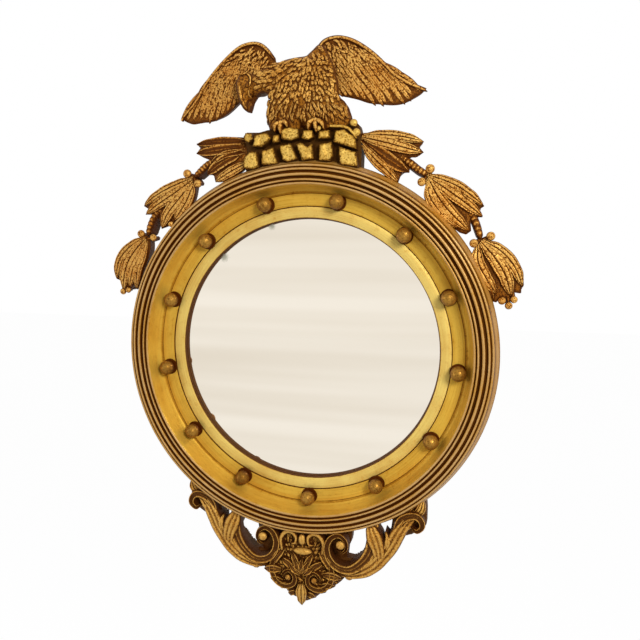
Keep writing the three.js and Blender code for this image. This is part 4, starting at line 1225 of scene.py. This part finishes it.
@dataclass
class RockPlinth:
    """Rock that the eagle stands on, cut in rough bright blocks with deep dark slots between."""

    base: float = 40.0
    face: float = 50.0
    outline: tuple[Point, ...] = (
        (-72, 240), (-73, 244), (-69, 248), (-54, 247.5), (-44, 250), (-10, 250), (30, 250),
        (52, 258), (59, 252), (61, 244), (62, 232), (62.5, 222), (62, 206), (40, 209), (0, 214),
        (-40, 209), (-70, 204), (-72, 214), (-68, 228),
    )
    blocks: tuple[tuple[Point, ...], ...] = (
        ((-71, 208), (-72, 219), (-64, 226), (-57, 226), (-54, 209), (-60, 207)),
        ((-50, 212), (-50, 226), (-37, 230), (-32, 213), (-40, 211)),
        ((-29, 231), (-17, 234), (-9, 217), (-20, 214), (-26, 217)),
        ((-10, 233), (-4, 234), (3, 229), (8, 234), (9, 217), (-3, 215)),
        ((16, 232), (30, 234), (31, 219), (28, 214), (16, 215)),
        ((38, 229), (57, 222), (59, 207), (39, 210)),
        ((-61, 232), (-58, 244), (-44, 246), (-39, 240), (-50, 231)),
        ((-37, 235), (-37, 243), (-30, 244), (-30, 236)),
        ((-4, 239), (-2, 247), (8, 247), (9, 240), (3, 237)),
        ((15, 238), (16, 246), (27, 247), (28, 238)),
        ((32, 234), (34, 246), (44, 247), (56, 238), (57, 226), (44, 230)),
        ((-27, 239), (-28, 249), (-17, 251), (-8, 249), (-7, 240), (-16, 237)),
        ((-71, 240), (-70, 247), (-62, 246), (-60, 240), (-66, 236)),
    )
    knobs: tuple[Triple, ...] = (
        (54, 253, 4.2), (57, 243, 4.4), (-18, 247, 3.6), (15, 249, 3.2), (-64, 243, 2.8),
    )

    def ground(self, x: float, y: float) -> float:
        """Front of a block, with coarse and fine roughness."""
        coarse = noise.noise(Vector((x, y, 0)) * 0.16) * 1.8
        return self.face + (coarse + noise.noise(Vector((x, y, 5)) * 0.55) * 1.3)

    def build(self, material: bpy.types.Material) -> None:
        """Makes the rock."""
        carving = Carving()
        # the plate behind the blocks is fully dark: painted shade in the slots between them
        carving.relief(self.outline, lambda x, y: self.base, cell=2.0, level=44, shade=1.0)
        for block in self.blocks:
            carving.relief(block, self.ground, cell=1.3, level=self.face, back=self.base - 4,
                           draft=1.6, edge=1.0, shade=0.0)
        for x, y, radius in self.knobs:
            carving.ball((x, y, self.face - 2), (radius, radius, radius * 0.75))
        carving.blade([(28, 251), (45, 249), (53, 243), (58, 236)], (1.6, 2.0, 1.6),
                      (51, 52.5, 50), drop=2.5, cut=Cut.ROUND, back=42)
        carving.object("rock_carving", "carving_gilding", material, ["rock_plinth"])


@dataclass(frozen=True)
class Leaf:
    """One leaf of a spray: its middle line, its half width at the widest and its cut."""

    line: tuple[Point, ...]
    half: float
    cut: Cut = Cut.LEAF


@dataclass(frozen=True)
class Berry:
    """One berry and the place that it grows from."""

    x: float
    y: float
    radius: float
    root: Point


@dataclass(frozen=True)
class LeafLength:
    """One carved length of a spray: leaves, a ribbed stem and berries."""

    level: str
    leaves: tuple[Leaf, ...]
    stem: tuple[Point, ...]
    berries: tuple[Berry, ...]
    mass: tuple[Point, ...]


@dataclass
class LeafSpray:
    """The three carved lengths down one side of the frame."""

    side: Side
    lengths: tuple[LeafLength, ...]
    front: float = 38.5

    def ground(self, x: float, y: float) -> float:
        """Front of the mass under the leaves."""
        return self.front + 0.8 * noise.noise(Vector((x, y, 0)) * 0.12)

    def build(self, material: bpy.types.Material) -> None:
        """Makes the three lengths."""
        for length in self.lengths:
            carving = Carving()
            # the mass is darker: painted shade in the gaps between the leaves
            carving.relief(length.mass, self.ground, cell=1.8, level=self.front, draft=-3.0,
                           edge=1.8, shade=0.45)
            for leaf in length.leaves:
                half = leaf.half
                carving.blade(
                    leaf.line, (half * 0.35, half * 0.9, half, half * 0.85, half * 0.3),
                    (0.8, 2.2, 3.0, 2.9, 1.8), drop=2.6, cut=leaf.cut, steps=24,
                    ground=self.ground)
            if length.stem:
                carving.blade(length.stem, (3.6, 4.2, 4.0, 3.4), (39.5, 40.5, 41, 40.5),
                              drop=4, cut=Cut.ROUND, steps=48, waves=8, wave=1.1)
            for berry in length.berries:
                carving.blade([berry.root, (berry.x, berry.y)], (2.4, 2.0), (38, 38.5), drop=2,
                              cut=Cut.ROUND, steps=8, shade=0.3)
                radius = berry.radius
                carving.ball((berry.x, berry.y, self.front), (radius, radius, radius * 0.8))
            place = f"{length.level}_{self.side.word}"
            carving.object(f"leaf_spray_{place}", "carving_gilding", material, [f"spray_{place}"])


LEFT_SPRAY = LeafSpray(Side.LEFT, (
    LeafLength(
        "upper",
        (Leaf(((-70, 226), (-92, 224), (-112, 214)), 4.6, Cut.RIMMED),
         Leaf(((-68, 238), (-100, 238.5), (-129, 236)), 5.4, Cut.RIMMED),
         Leaf(((-68, 214), (-86, 205), (-106, 194)), 6.2),
         Leaf(((-70, 232), (-100, 229), (-129, 226)), 6.6, Cut.RIMMED),
         Leaf(((-74, 226), (-96, 216), (-116, 202)), 7.4, Cut.RIMMED)),
        ((-104, 219), (-115, 214), (-123, 208), (-132, 200)), (), ((-68, 242), (-90, 243.5),
        (-112, 242), (-129, 237), (-124, 232), (-129, 226), (-120, 221), (-112, 218), (-112, 211),
        (-116, 202), (-108, 201), (-106, 193), (-96, 194), (-84, 199), (-72, 207), (-66, 215))),
    LeafLength(
        "middle",
        (Leaf(((-134, 199), (-160, 189), (-182, 178), (-197, 167)), 6.0),
         Leaf(((-133, 192), (-142, 172), (-150, 160), (-158, 150)), 7.6),
         Leaf(((-135, 196), (-158, 181), (-178, 169), (-195, 157.5)), 7.4),
         Leaf(((-135, 193), (-154, 172), (-166, 158), (-175, 141)), 8.2)),
        ((-174, 166), (-184, 156), (-190, 145), (-194, 133)),
        (Berry(-141, 203.5, 5.0, (-133, 199)), Berry(-128, 192, 4.6, (-133, 198)),
         Berry(-163, 146, 3.5, (-158, 152))),
        ((-132, 203), (-137, 200), (-150, 196.5), (-160, 192), (-170, 188.5), (-178, 184),
         (-186, 178), (-193, 172), (-197.5, 167), (-192, 164), (-195.5, 157), (-187, 157),
         (-179, 158), (-177, 148), (-175, 140), (-168, 143), (-160, 147), (-150, 154),
         (-140, 164), (-135, 172), (-132, 182), (-130, 194))),
    LeafLength(
        "lower",
        (Leaf(((-197, 131), (-220, 116), (-232, 100), (-236, 80)), 6.6),
         Leaf(((-195, 126), (-202, 106), (-208, 90), (-210, 68)), 6.4),
         Leaf(((-197, 129), (-214, 110), (-224, 90), (-228, 66)), 8.4),
         Leaf(((-196, 124), (-206, 104), (-214, 90), (-219, 70)), 7.4)),
        (),
        (Berry(-202, 134.5, 4.6, (-195, 130)), Berry(-186, 130, 4.2, (-194, 128)),
         Berry(-228, 65, 3.8, (-224, 72)), Berry(-221, 67, 3.6, (-222, 74))),
        ((-194, 133), (-203, 129), (-215, 122), (-225, 115), (-232, 106), (-236, 95), (-237, 86),
         (-236, 80), (-231, 78), (-230, 68), (-225, 64), (-219, 67), (-214, 73), (-209, 67),
         (-204, 78), (-199, 92), (-193, 106), (-190, 118), (-190, 128))),
))
RIGHT_SPRAY = LeafSpray(Side.RIGHT, (
    LeafLength(
        "upper",
        (Leaf(((64, 240), (90, 239), (110, 236), (129, 231)), 6.0),
         Leaf(((64, 230), (78, 214), (90, 203), (103, 190)), 6.4),
         Leaf(((63, 238), (90, 231), (110, 225), (128.5, 220)), 7.4),
         Leaf(((63, 236), (82, 221), (98, 210), (113.5, 200)), 8.2, Cut.RIMMED)),
        ((106, 216), (116, 209), (125, 202), (134, 197)), (), ((62, 242), (76, 243), (90, 242.5),
        (110, 239), (124, 234.5), (130, 230), (124, 226), (129.5, 220), (122, 215), (112, 215),
        (110, 211), (115, 205), (115, 199), (107, 200), (103, 188.5), (92, 194), (80, 208),
        (68, 227), (62, 236))),
    LeafLength(
        "middle",
        (Leaf(((134, 197), (160, 187), (178, 176), (192.5, 164)), 6.2),
         Leaf(((134, 190), (138, 172), (150, 157), (168, 141)), 6.8),
         Leaf(((135, 195), (156, 180), (174, 167), (192, 153)), 7.4),
         Leaf(((135, 193), (146, 173), (160, 156), (179, 138)), 8.2)),
        ((170, 168), (180, 157), (186, 145), (191, 130)),
        (Berry(136.5, 203, 4.9, (134, 196)), Berry(128, 189.5, 4.6, (133, 194))),
        ((133, 199), (145, 195), (160, 190.5), (176, 180), (190, 168), (193.5, 163.5),
         (189, 160.5), (192.5, 152), (185, 152), (180, 147), (181, 138), (176, 134), (169, 136),
         (158, 144), (146, 155), (139, 163), (134.5, 173), (132, 184), (131, 193))),
    LeafLength(
        "lower",
        (Leaf(((193, 128), (212, 117), (226, 101), (235.5, 80)), 6.8),
         Leaf(((191, 98), (197, 84), (206, 64)), 5.0, Cut.RIMMED),
         Leaf(((188, 124), (189, 106), (197, 90), (209, 72)), 7.6),
         Leaf(((191, 127), (206, 110), (217, 92), (224, 70)), 8.6)),
        (),
        (Berry(201, 132.5, 4.7, (193, 128)), Berry(184, 125, 4.6, (190, 128)),
         Berry(215, 65, 4.2, (218, 74)), Berry(222, 60, 4.0, (221, 72)),
         Berry(227, 66.5, 3.8, (225, 74))),
        ((190, 131), (200, 127.5), (208, 124), (216, 117), (223, 108.5), (230, 98), (235, 88),
         (236.5, 82), (234, 78), (234, 73), (227, 74), (221, 68), (214, 67), (209, 63), (205, 64),
         (200, 72), (194, 84), (188, 94), (184, 104), (184, 116), (186, 126))),
))


@dataclass
class Apron:
    """Scrolled branches and the centre cartouche, drawn down from the bottom of the frame."""

    rim_r: float = 215.6
    cup: tuple[Point, ...] = (
        (30, 8), (30, -24), (44, -44), (60, -43), (75, -36), (84, -26), (84, -8), (76, -14),
        (69, -24), (60, -30), (52, -29), (53, -18), (57, -8), (58, 4), (54, 12), (40, 10),
    )
    shoulder: tuple[Point, ...] = (
        (103, 8), (106, 36), (118, 52), (133, 62), (142, 57), (143.5, 40), (143.5, 24), (136, 15),
        (122, 8),
    )
    shield: tuple[Point, ...] = (
        (0, -4), (30, 2), (30, -24), (44, -42), (52, -48), (50, -54), (46, -59), (41, -64),
        (36, -67), (29, -72), (22, -75), (18.5, -79), (14, -83), (9.5, -87), (5, -90), (0, -91.5),
    )

    def placed(self, side: Side, points: Sequence[Point]) -> list[Point]:
        """Places drawn below the frame on its right, on the side where they belong."""
        return [(side.value * x, y - self.rim_r) for x, y in points]

    def strip(self, carving: Carving, side: Side, points: Sequence[Point],
              halves: Sequence[float], crown: Sequence[float], cut: Cut, steps: int,
              drop: float = 3.5, foot: float = 24.0) -> None:
        """Adds a scroll or a leaf down to its foot's height."""
        carving.blade(self.placed(side, points), halves, crown, drop=drop, cut=cut, steps=steps,
                      back=foot, draft=-0.6, view=False)

    def boss(self, carving: Carving, side: Side, centre: Triple, radii: Triple,
             shade: float = 0.0) -> None:
        """Adds a knob whose centre is drawn below the frame, with its height last."""
        place = self.placed(side, [centre[:2]])[0]
        carving.ball((*place, centre[2]), radii, shade, view=False)

    def fringe(self, carving: Carving, side: Side, points: Sequence[Point], count: int,
               reach: float, lean_deg: float, height: float, seed: int) -> None:
        """Adds a row of small leaf tips that stand out from a stem.

        Args:
            carving: the mesh.
            side: half of the apron.
            points: middle line of the stem.
            count: number of tips.
            reach: how far they stand out to the left of the stem.
            lean_deg: how far they lean along the stem.
            height: height of their middles.
            seed: start of the jitter.
        """
        dice = random.Random(seed)
        stem = Path(points)
        for k in range(count):
            share = (k + 0.5) / count
            root, out = stem.at(share), stem.side(share)
            along = Vector((out.y, -out.x))
            lean = math.radians(lean_deg + dice.uniform(-10, 10))
            way = out * math.cos(lean) + along * math.sin(lean)
            start = root + way * 1.5
            tip = root + way * reach * dice.uniform(0.85, 1.15)
            bend = (start + tip) / 2 + along * 1.2
            self.strip(carving, side, [tuple(start), tuple(bend), tuple(tip)],
                       (2.0, 3.3, 2.8, 0.8), (height - 1, height, height - 1, height - 4),
                       Cut.FEATHER, 9, drop=2.2)

    def bumpy(self, top: float) -> Ground:
        """Ground of a plate behind the scrolls."""
        return lambda x, y: top + 1.6 * noise.noise(Vector((x, y, 0)) * 0.2)

    def branch(self, side: Side, material: bpy.types.Material) -> None:
        """Makes one branch: a leafy stem, an inner scroll with its volute, and the end scroll."""
        carving = Carving()
        seed = 20 + side.value
        # the plates behind the scrolls are darker: painted shade
        for plate, top in ((self.cup, 33.0), (self.shoulder, 36.0)):
            carving.relief(self.placed(side, plate), self.bumpy(top), shade=0.75)
        stem = ((132, 40), (122, 28), (113, 14), (106, 0), (97, -14), (85, -29), (68, -40),
                (44, -45))
        self.fringe(carving, side, stem, 8, 12.0, -50, 45.0, seed)
        self.strip(carving, side, stem, (5, 7, 8.5, 9, 8.5, 8, 6.5, 3.5),
                   (43, 45, 46.5, 47, 47.5, 47, 46, 45), Cut.RIBBED, 60, drop=4.0)
        scroll = ((82, 20), (84, 4), (81, -12), (72, -26), (58, -36), (44, -35), (34, -26),
                  (30.5, -12), (35, 0), (44, 5), (52, 0), (54, -9), (49, -15.5), (43, -13))
        self.fringe(carving, side, scroll[:8], 12, 10, -35, 43.5, seed + 9)
        self.strip(carving, side, scroll,
                   (6, 7.4, 7.6, 7, 6.2, 5.6, 5, 4.6, 4.2, 3.7, 3.2, 2.6, 1.9, 1.3),
                   (44, 46, 46.5, 47, 47.5, 48, 48, 48, 48.5, 49, 49, 49, 49, 49),
                   Cut.RIMMED, 96, drop=3.4, foot=31.0)
        self.strip(carving, side, ((92, -26), (90, -6), (80, 20)), (3, 7.5, 9.5, 6),
                   (46, 48.5, 49, 46), Cut.RIBBED, 30, drop=2.8)
        self.strip(carving, side, ((98, -10), (101, 4), (98, 14)), (3, 4.5, 1.2),
                   (45.5, 47.5, 44), Cut.FEATHER, 18, drop=2.4)
        self.strip(carving, side, ((110, 10), (113, 26), (120, 34), (131, 37), (138, 32),
                                   (139, 24), (133, 19), (127, 23)),
                   (3, 4.6, 5, 4.8, 4.2, 3.6, 2.8, 1.6), (43, 45, 46, 47, 47, 47, 46.5, 46),
                   Cut.RIMMED, 48, drop=3)
        self.strip(carving, side, ((128, 34), (137, 44), (139, 58)), (4, 5.6, 1.5),
                   (43, 44, 40), Cut.LEAF, 18)
        self.strip(carving, side, ((116, 36), (124, 46), (132, 60)), (3.5, 5, 1.5),
                   (41, 43, 39), Cut.LEAF, 18)
        self.boss(carving, side, (47, -6, 48), (5.2, 5.2, 4.0))
        carving.object(f"apron_scroll_{side.word}", "apron_gilding", material,
                       [f"apron_branch_{side.word}"])

    def cartouche(self, material: bpy.types.Material) -> None:
        """Makes the centre: scrolls and a boss over a burst of leaves, and a pointed tip."""
        carving = Carving()
        half = self.placed(Side.RIGHT, self.shield)
        outline = [*half, *((-x, y) for x, y in reversed(half[1:-1]))]
        low = -self.rim_r
        lumps = (Lump(0, low - 52, 40, 36, 0, 42), Lump(0, low - 18, 27, 20, 0, 38))
        ground = Modelled(lumps, 33.0)
        # the plate under the leaves is darker: painted shade between them
        carving.relief(outline, ground, cell=1.8, shade=0.8)
        burst = Field((
            (0, low - 12, 90), (24, low - 34, 20), (-24, low - 34, 160), (34, low - 58, -30),
            (-34, low - 58, 210), (14, low - 76, -60), (-14, low - 76, 240), (0, low - 84, 270),
            (12, low - 46, 40), (-12, low - 46, 140),
        ))
        carving.cover(lambda x, y: inside(outline, x, y), (-54, low - 92, 54, low + 2), burst,
                      ground, 8.5, 2.1, 2.6, seed=5, cut=Cut.FEATHER)
        for side in Side:
            self.strip(carving, side, ((24.5, -22), (26, -9), (21, 0), (13.5, 1.5), (7.5, -4),
                                       (8.5, -12), (14, -13)),
                       (1.4, 2.4, 2.7, 2.7, 2.4, 1.8, 1.2), (45, 46, 46.5, 46.5, 46, 45.5, 45),
                       Cut.ROUND, 44, drop=2.6)
            for base, tip, wide in (((3, -46), (13, -24), 4.2), ((6, -48), (27, -33), 4.6),
                                    ((22, -20), (38, -44), 5.0), ((26, -48), (48, -51), 5.4),
                                    ((24, -62), (40, -62), 4.4), ((16, -66), (29, -71), 4.0),
                                    ((6, -74), (17, -79), 3.6)):
                middle = ((base[0] + tip[0]) / 2, (base[1] + tip[1]) / 2 + 2.5)
                self.strip(carving, side, (base, middle, tip),
                           (wide * 0.5, wide, wide * 0.9, 0.8), (44.5, 47, 46.5, 42),
                           Cut.RIMMED, 18, drop=2.4)
            self.strip(carving, side, ((33, -30), (37, -46), (32, -60), (21, -66), (10, -62),
                                       (8, -52), (15, -45), (22, -50), (20, -57)),
                       (2.4, 3.2, 3.6, 3.6, 3.4, 3, 2.6, 2, 1.4),
                       (44, 46, 47, 47.5, 48, 48.5, 49, 49, 49), Cut.RIMMED, 64, drop=3)
            self.boss(carving, side, (16, -54, 47.5), (3.6, 3.6, 2.6), 0.3)
        self.boss(carving, Side.RIGHT, (0, -23, 40), (11.5, 4.6, 5.0))
        self.boss(carving, Side.RIGHT, (0, -7, 43), (4.4, 6.6, 4.0))
        for angle in (90, 64, 116, 38, 142):
            way = (math.cos(math.radians(angle)), math.sin(math.radians(angle)))
            ends = [(way[0] * reach, -50 + way[1] * reach) for reach in (2, 10, 20)]
            self.strip(carving, Side.RIGHT, ends, (2.4, 4.0, 1.0), (48, 49.5, 46), Cut.RIMMED,
                       16, drop=2.2)
        self.strip(carving, Side.RIGHT, ((0, -62), (0, -76), (0, -91)), (4.5, 7.5, 5.5, 0.8),
                   (47, 48, 46.5, 43), Cut.LEAF, 26, drop=3)
        carving.object("apron_shell", "apron_gilding", material, ["apron_cartouche"])

    def build(self, material: bpy.types.Material) -> None:
        """Makes the whole apron."""
        self.branch(Side.LEFT, material)
        self.branch(Side.RIGHT, material)
        self.cartouche(material)


# ---- Plain pieces ----------------------------------------------------------------------------


def dress_plain_nodes(frame: dict) -> None:
    """Gives the fixings, the backboard and the packing their finishes.
    """
    finishes = {"steel": STEEL, "brass": BRASS, "rubber": RUBBER, "backboard": WOOD, "felt": FELT}
    made = {slot: finish.material() for slot, finish in finishes.items()}
    for part in frame["record"]["subparts"]:
        if part["material_slot"] not in made:
            continue
        node = frame["nodes"][part["node"]]
        node.data.materials.clear()
        node.data.materials.append(made[part["material_slot"]])


# ---- Stage -----------------------------------------------------------------------------------


@dataclass
class Studio:
    """Floor, lamps, background and camera."""

    floor_z: float = -1.5
    floor_half: float = 12.0
    lens_mm: float = 33.47
    sensor_mm: float = 36.0
    right: Triple = (0.9746, 0.2238, 0.0071)
    up: Triple = (-0.0331, 0.1130, 0.9930)
    sky: float = 0.2
    floor_share: float = 0.85
    floor_glow: float = 1.13

    def camera(self) -> None:
        """Puts the camera where the photograph was taken."""
        data = bpy.data.cameras.new("camera")
        data.lens = self.lens_mm
        data.sensor_width = self.sensor_mm
        data.clip_start = 0.01
        data.clip_end = 60.0
        camera = bpy.data.objects.new("camera", data)
        right = Vector(self.right).normalized()
        up = (Vector(self.up) - right * right.dot(Vector(self.up))).normalized()
        turn = Matrix((right, up, right.cross(up))).transposed().to_4x4()
        camera.matrix_world = Matrix.Translation(FACE_TO_ROW @ CAMERA_AT) @ turn
        bpy.context.scene.collection.objects.link(camera)
        bpy.context.scene.camera = camera

    def lamp(self, name: str, place: Triple, size: float, watts: float, colour: Colour) -> None:
        """Adds a square area lamp that faces the mirror."""
        data = bpy.data.lights.new(name, "AREA")
        data.size = size
        data.energy = watts
        data.color = colour
        lamp = bpy.data.objects.new(name, data)
        lamp.location = place
        lamp.rotation_euler = (-Vector(place)).to_track_quat("-Z", "Y").to_euler()
        bpy.context.scene.collection.objects.link(lamp)

    def background(self) -> None:
        """White where the camera or a reflection looks, and a softer sky for the light."""
        world = bpy.data.worlds.new("studio")
        shader = Shader(world)
        strength = self.sky + shader.looked_at() * (1 - self.sky)
        light = {"Color": (1.0, 1.0, 1.0, 1.0), "Strength": strength}
        sky = shader.value("ShaderNodeBackground", {}, light)
        shader.node("ShaderNodeOutputWorld", {}, {"Surface": sky})
        bpy.context.scene.world = world

    def floor(self) -> None:
        """Pale floor below the mirror."""
        mesh = bmesh.new()
        bmesh.ops.create_grid(mesh, x_segments=1, y_segments=1, size=self.floor_half)
        bmesh.ops.translate(mesh, verts=mesh.verts[:], vec=(0, 0, self.floor_z))
        data = bpy.data.meshes.new("floor")
        mesh.to_mesh(data)
        mesh.free()
        data.materials.append(self.floor_paint())
        floor = bpy.data.objects.new("floor", data)
        bpy.context.scene.collection.objects.link(floor)

    def floor_paint(self) -> bpy.types.Material:
        """White paint that the camera and reflections see almost as bright as the background."""
        shader = Shader(bpy.data.materials.new("floor_paint"))
        matt = shader.value("ShaderNodeBsdfDiffuse", {}, {"Color": (*srgb(240, 240, 240), 1.0)})
        bright = shader.value("ShaderNodeEmission", {}, {"Strength": self.floor_glow})
        inputs = {0: shader.looked_at() * self.floor_share, 1: matt, 2: bright}
        both = shader.value("ShaderNodeMixShader", {}, inputs)
        shader.node("ShaderNodeOutputMaterial", {}, {"Surface": both})
        return shader.owner

    def build(self) -> None:
        """Sets up the whole stage."""
        self.camera()
        self.background()
        self.floor()
        self.lamp("key", (0.68, -1.0, 0.5), 0.34, 10.5, (1.0, 0.99, 0.96))
        self.lamp("fill", (-2.2, -1.0, 0.1), 0.9, 9.0, (1.0, 0.98, 0.95))
        bpy.context.scene.view_settings.view_transform = "Standard"


# ---- The whole mirror ------------------------------------------------------------------------


def main() -> None:
    """Builds the stage and dresses the mirror."""
    logging.basicConfig(level=logging.INFO, format="%(name)s: %(message)s")
    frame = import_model()
    Studio().build()
    TurnedFrame().build()
    CoveBalls().build()
    carving = CARVING_GILDING.material()
    EagleBody().build(BREAST_GILDING.material())
    LEFT_WING.build(carving)
    RIGHT_WING.build(carving)
    RockPlinth().build(ROCK_GILDING.material())
    LEFT_SPRAY.build(carving)
    RIGHT_SPRAY.build(carving)
    Apron().build(APRON_GILDING.material())
    dress_plain_nodes(frame)


if __name__ == "__main__":
    main()
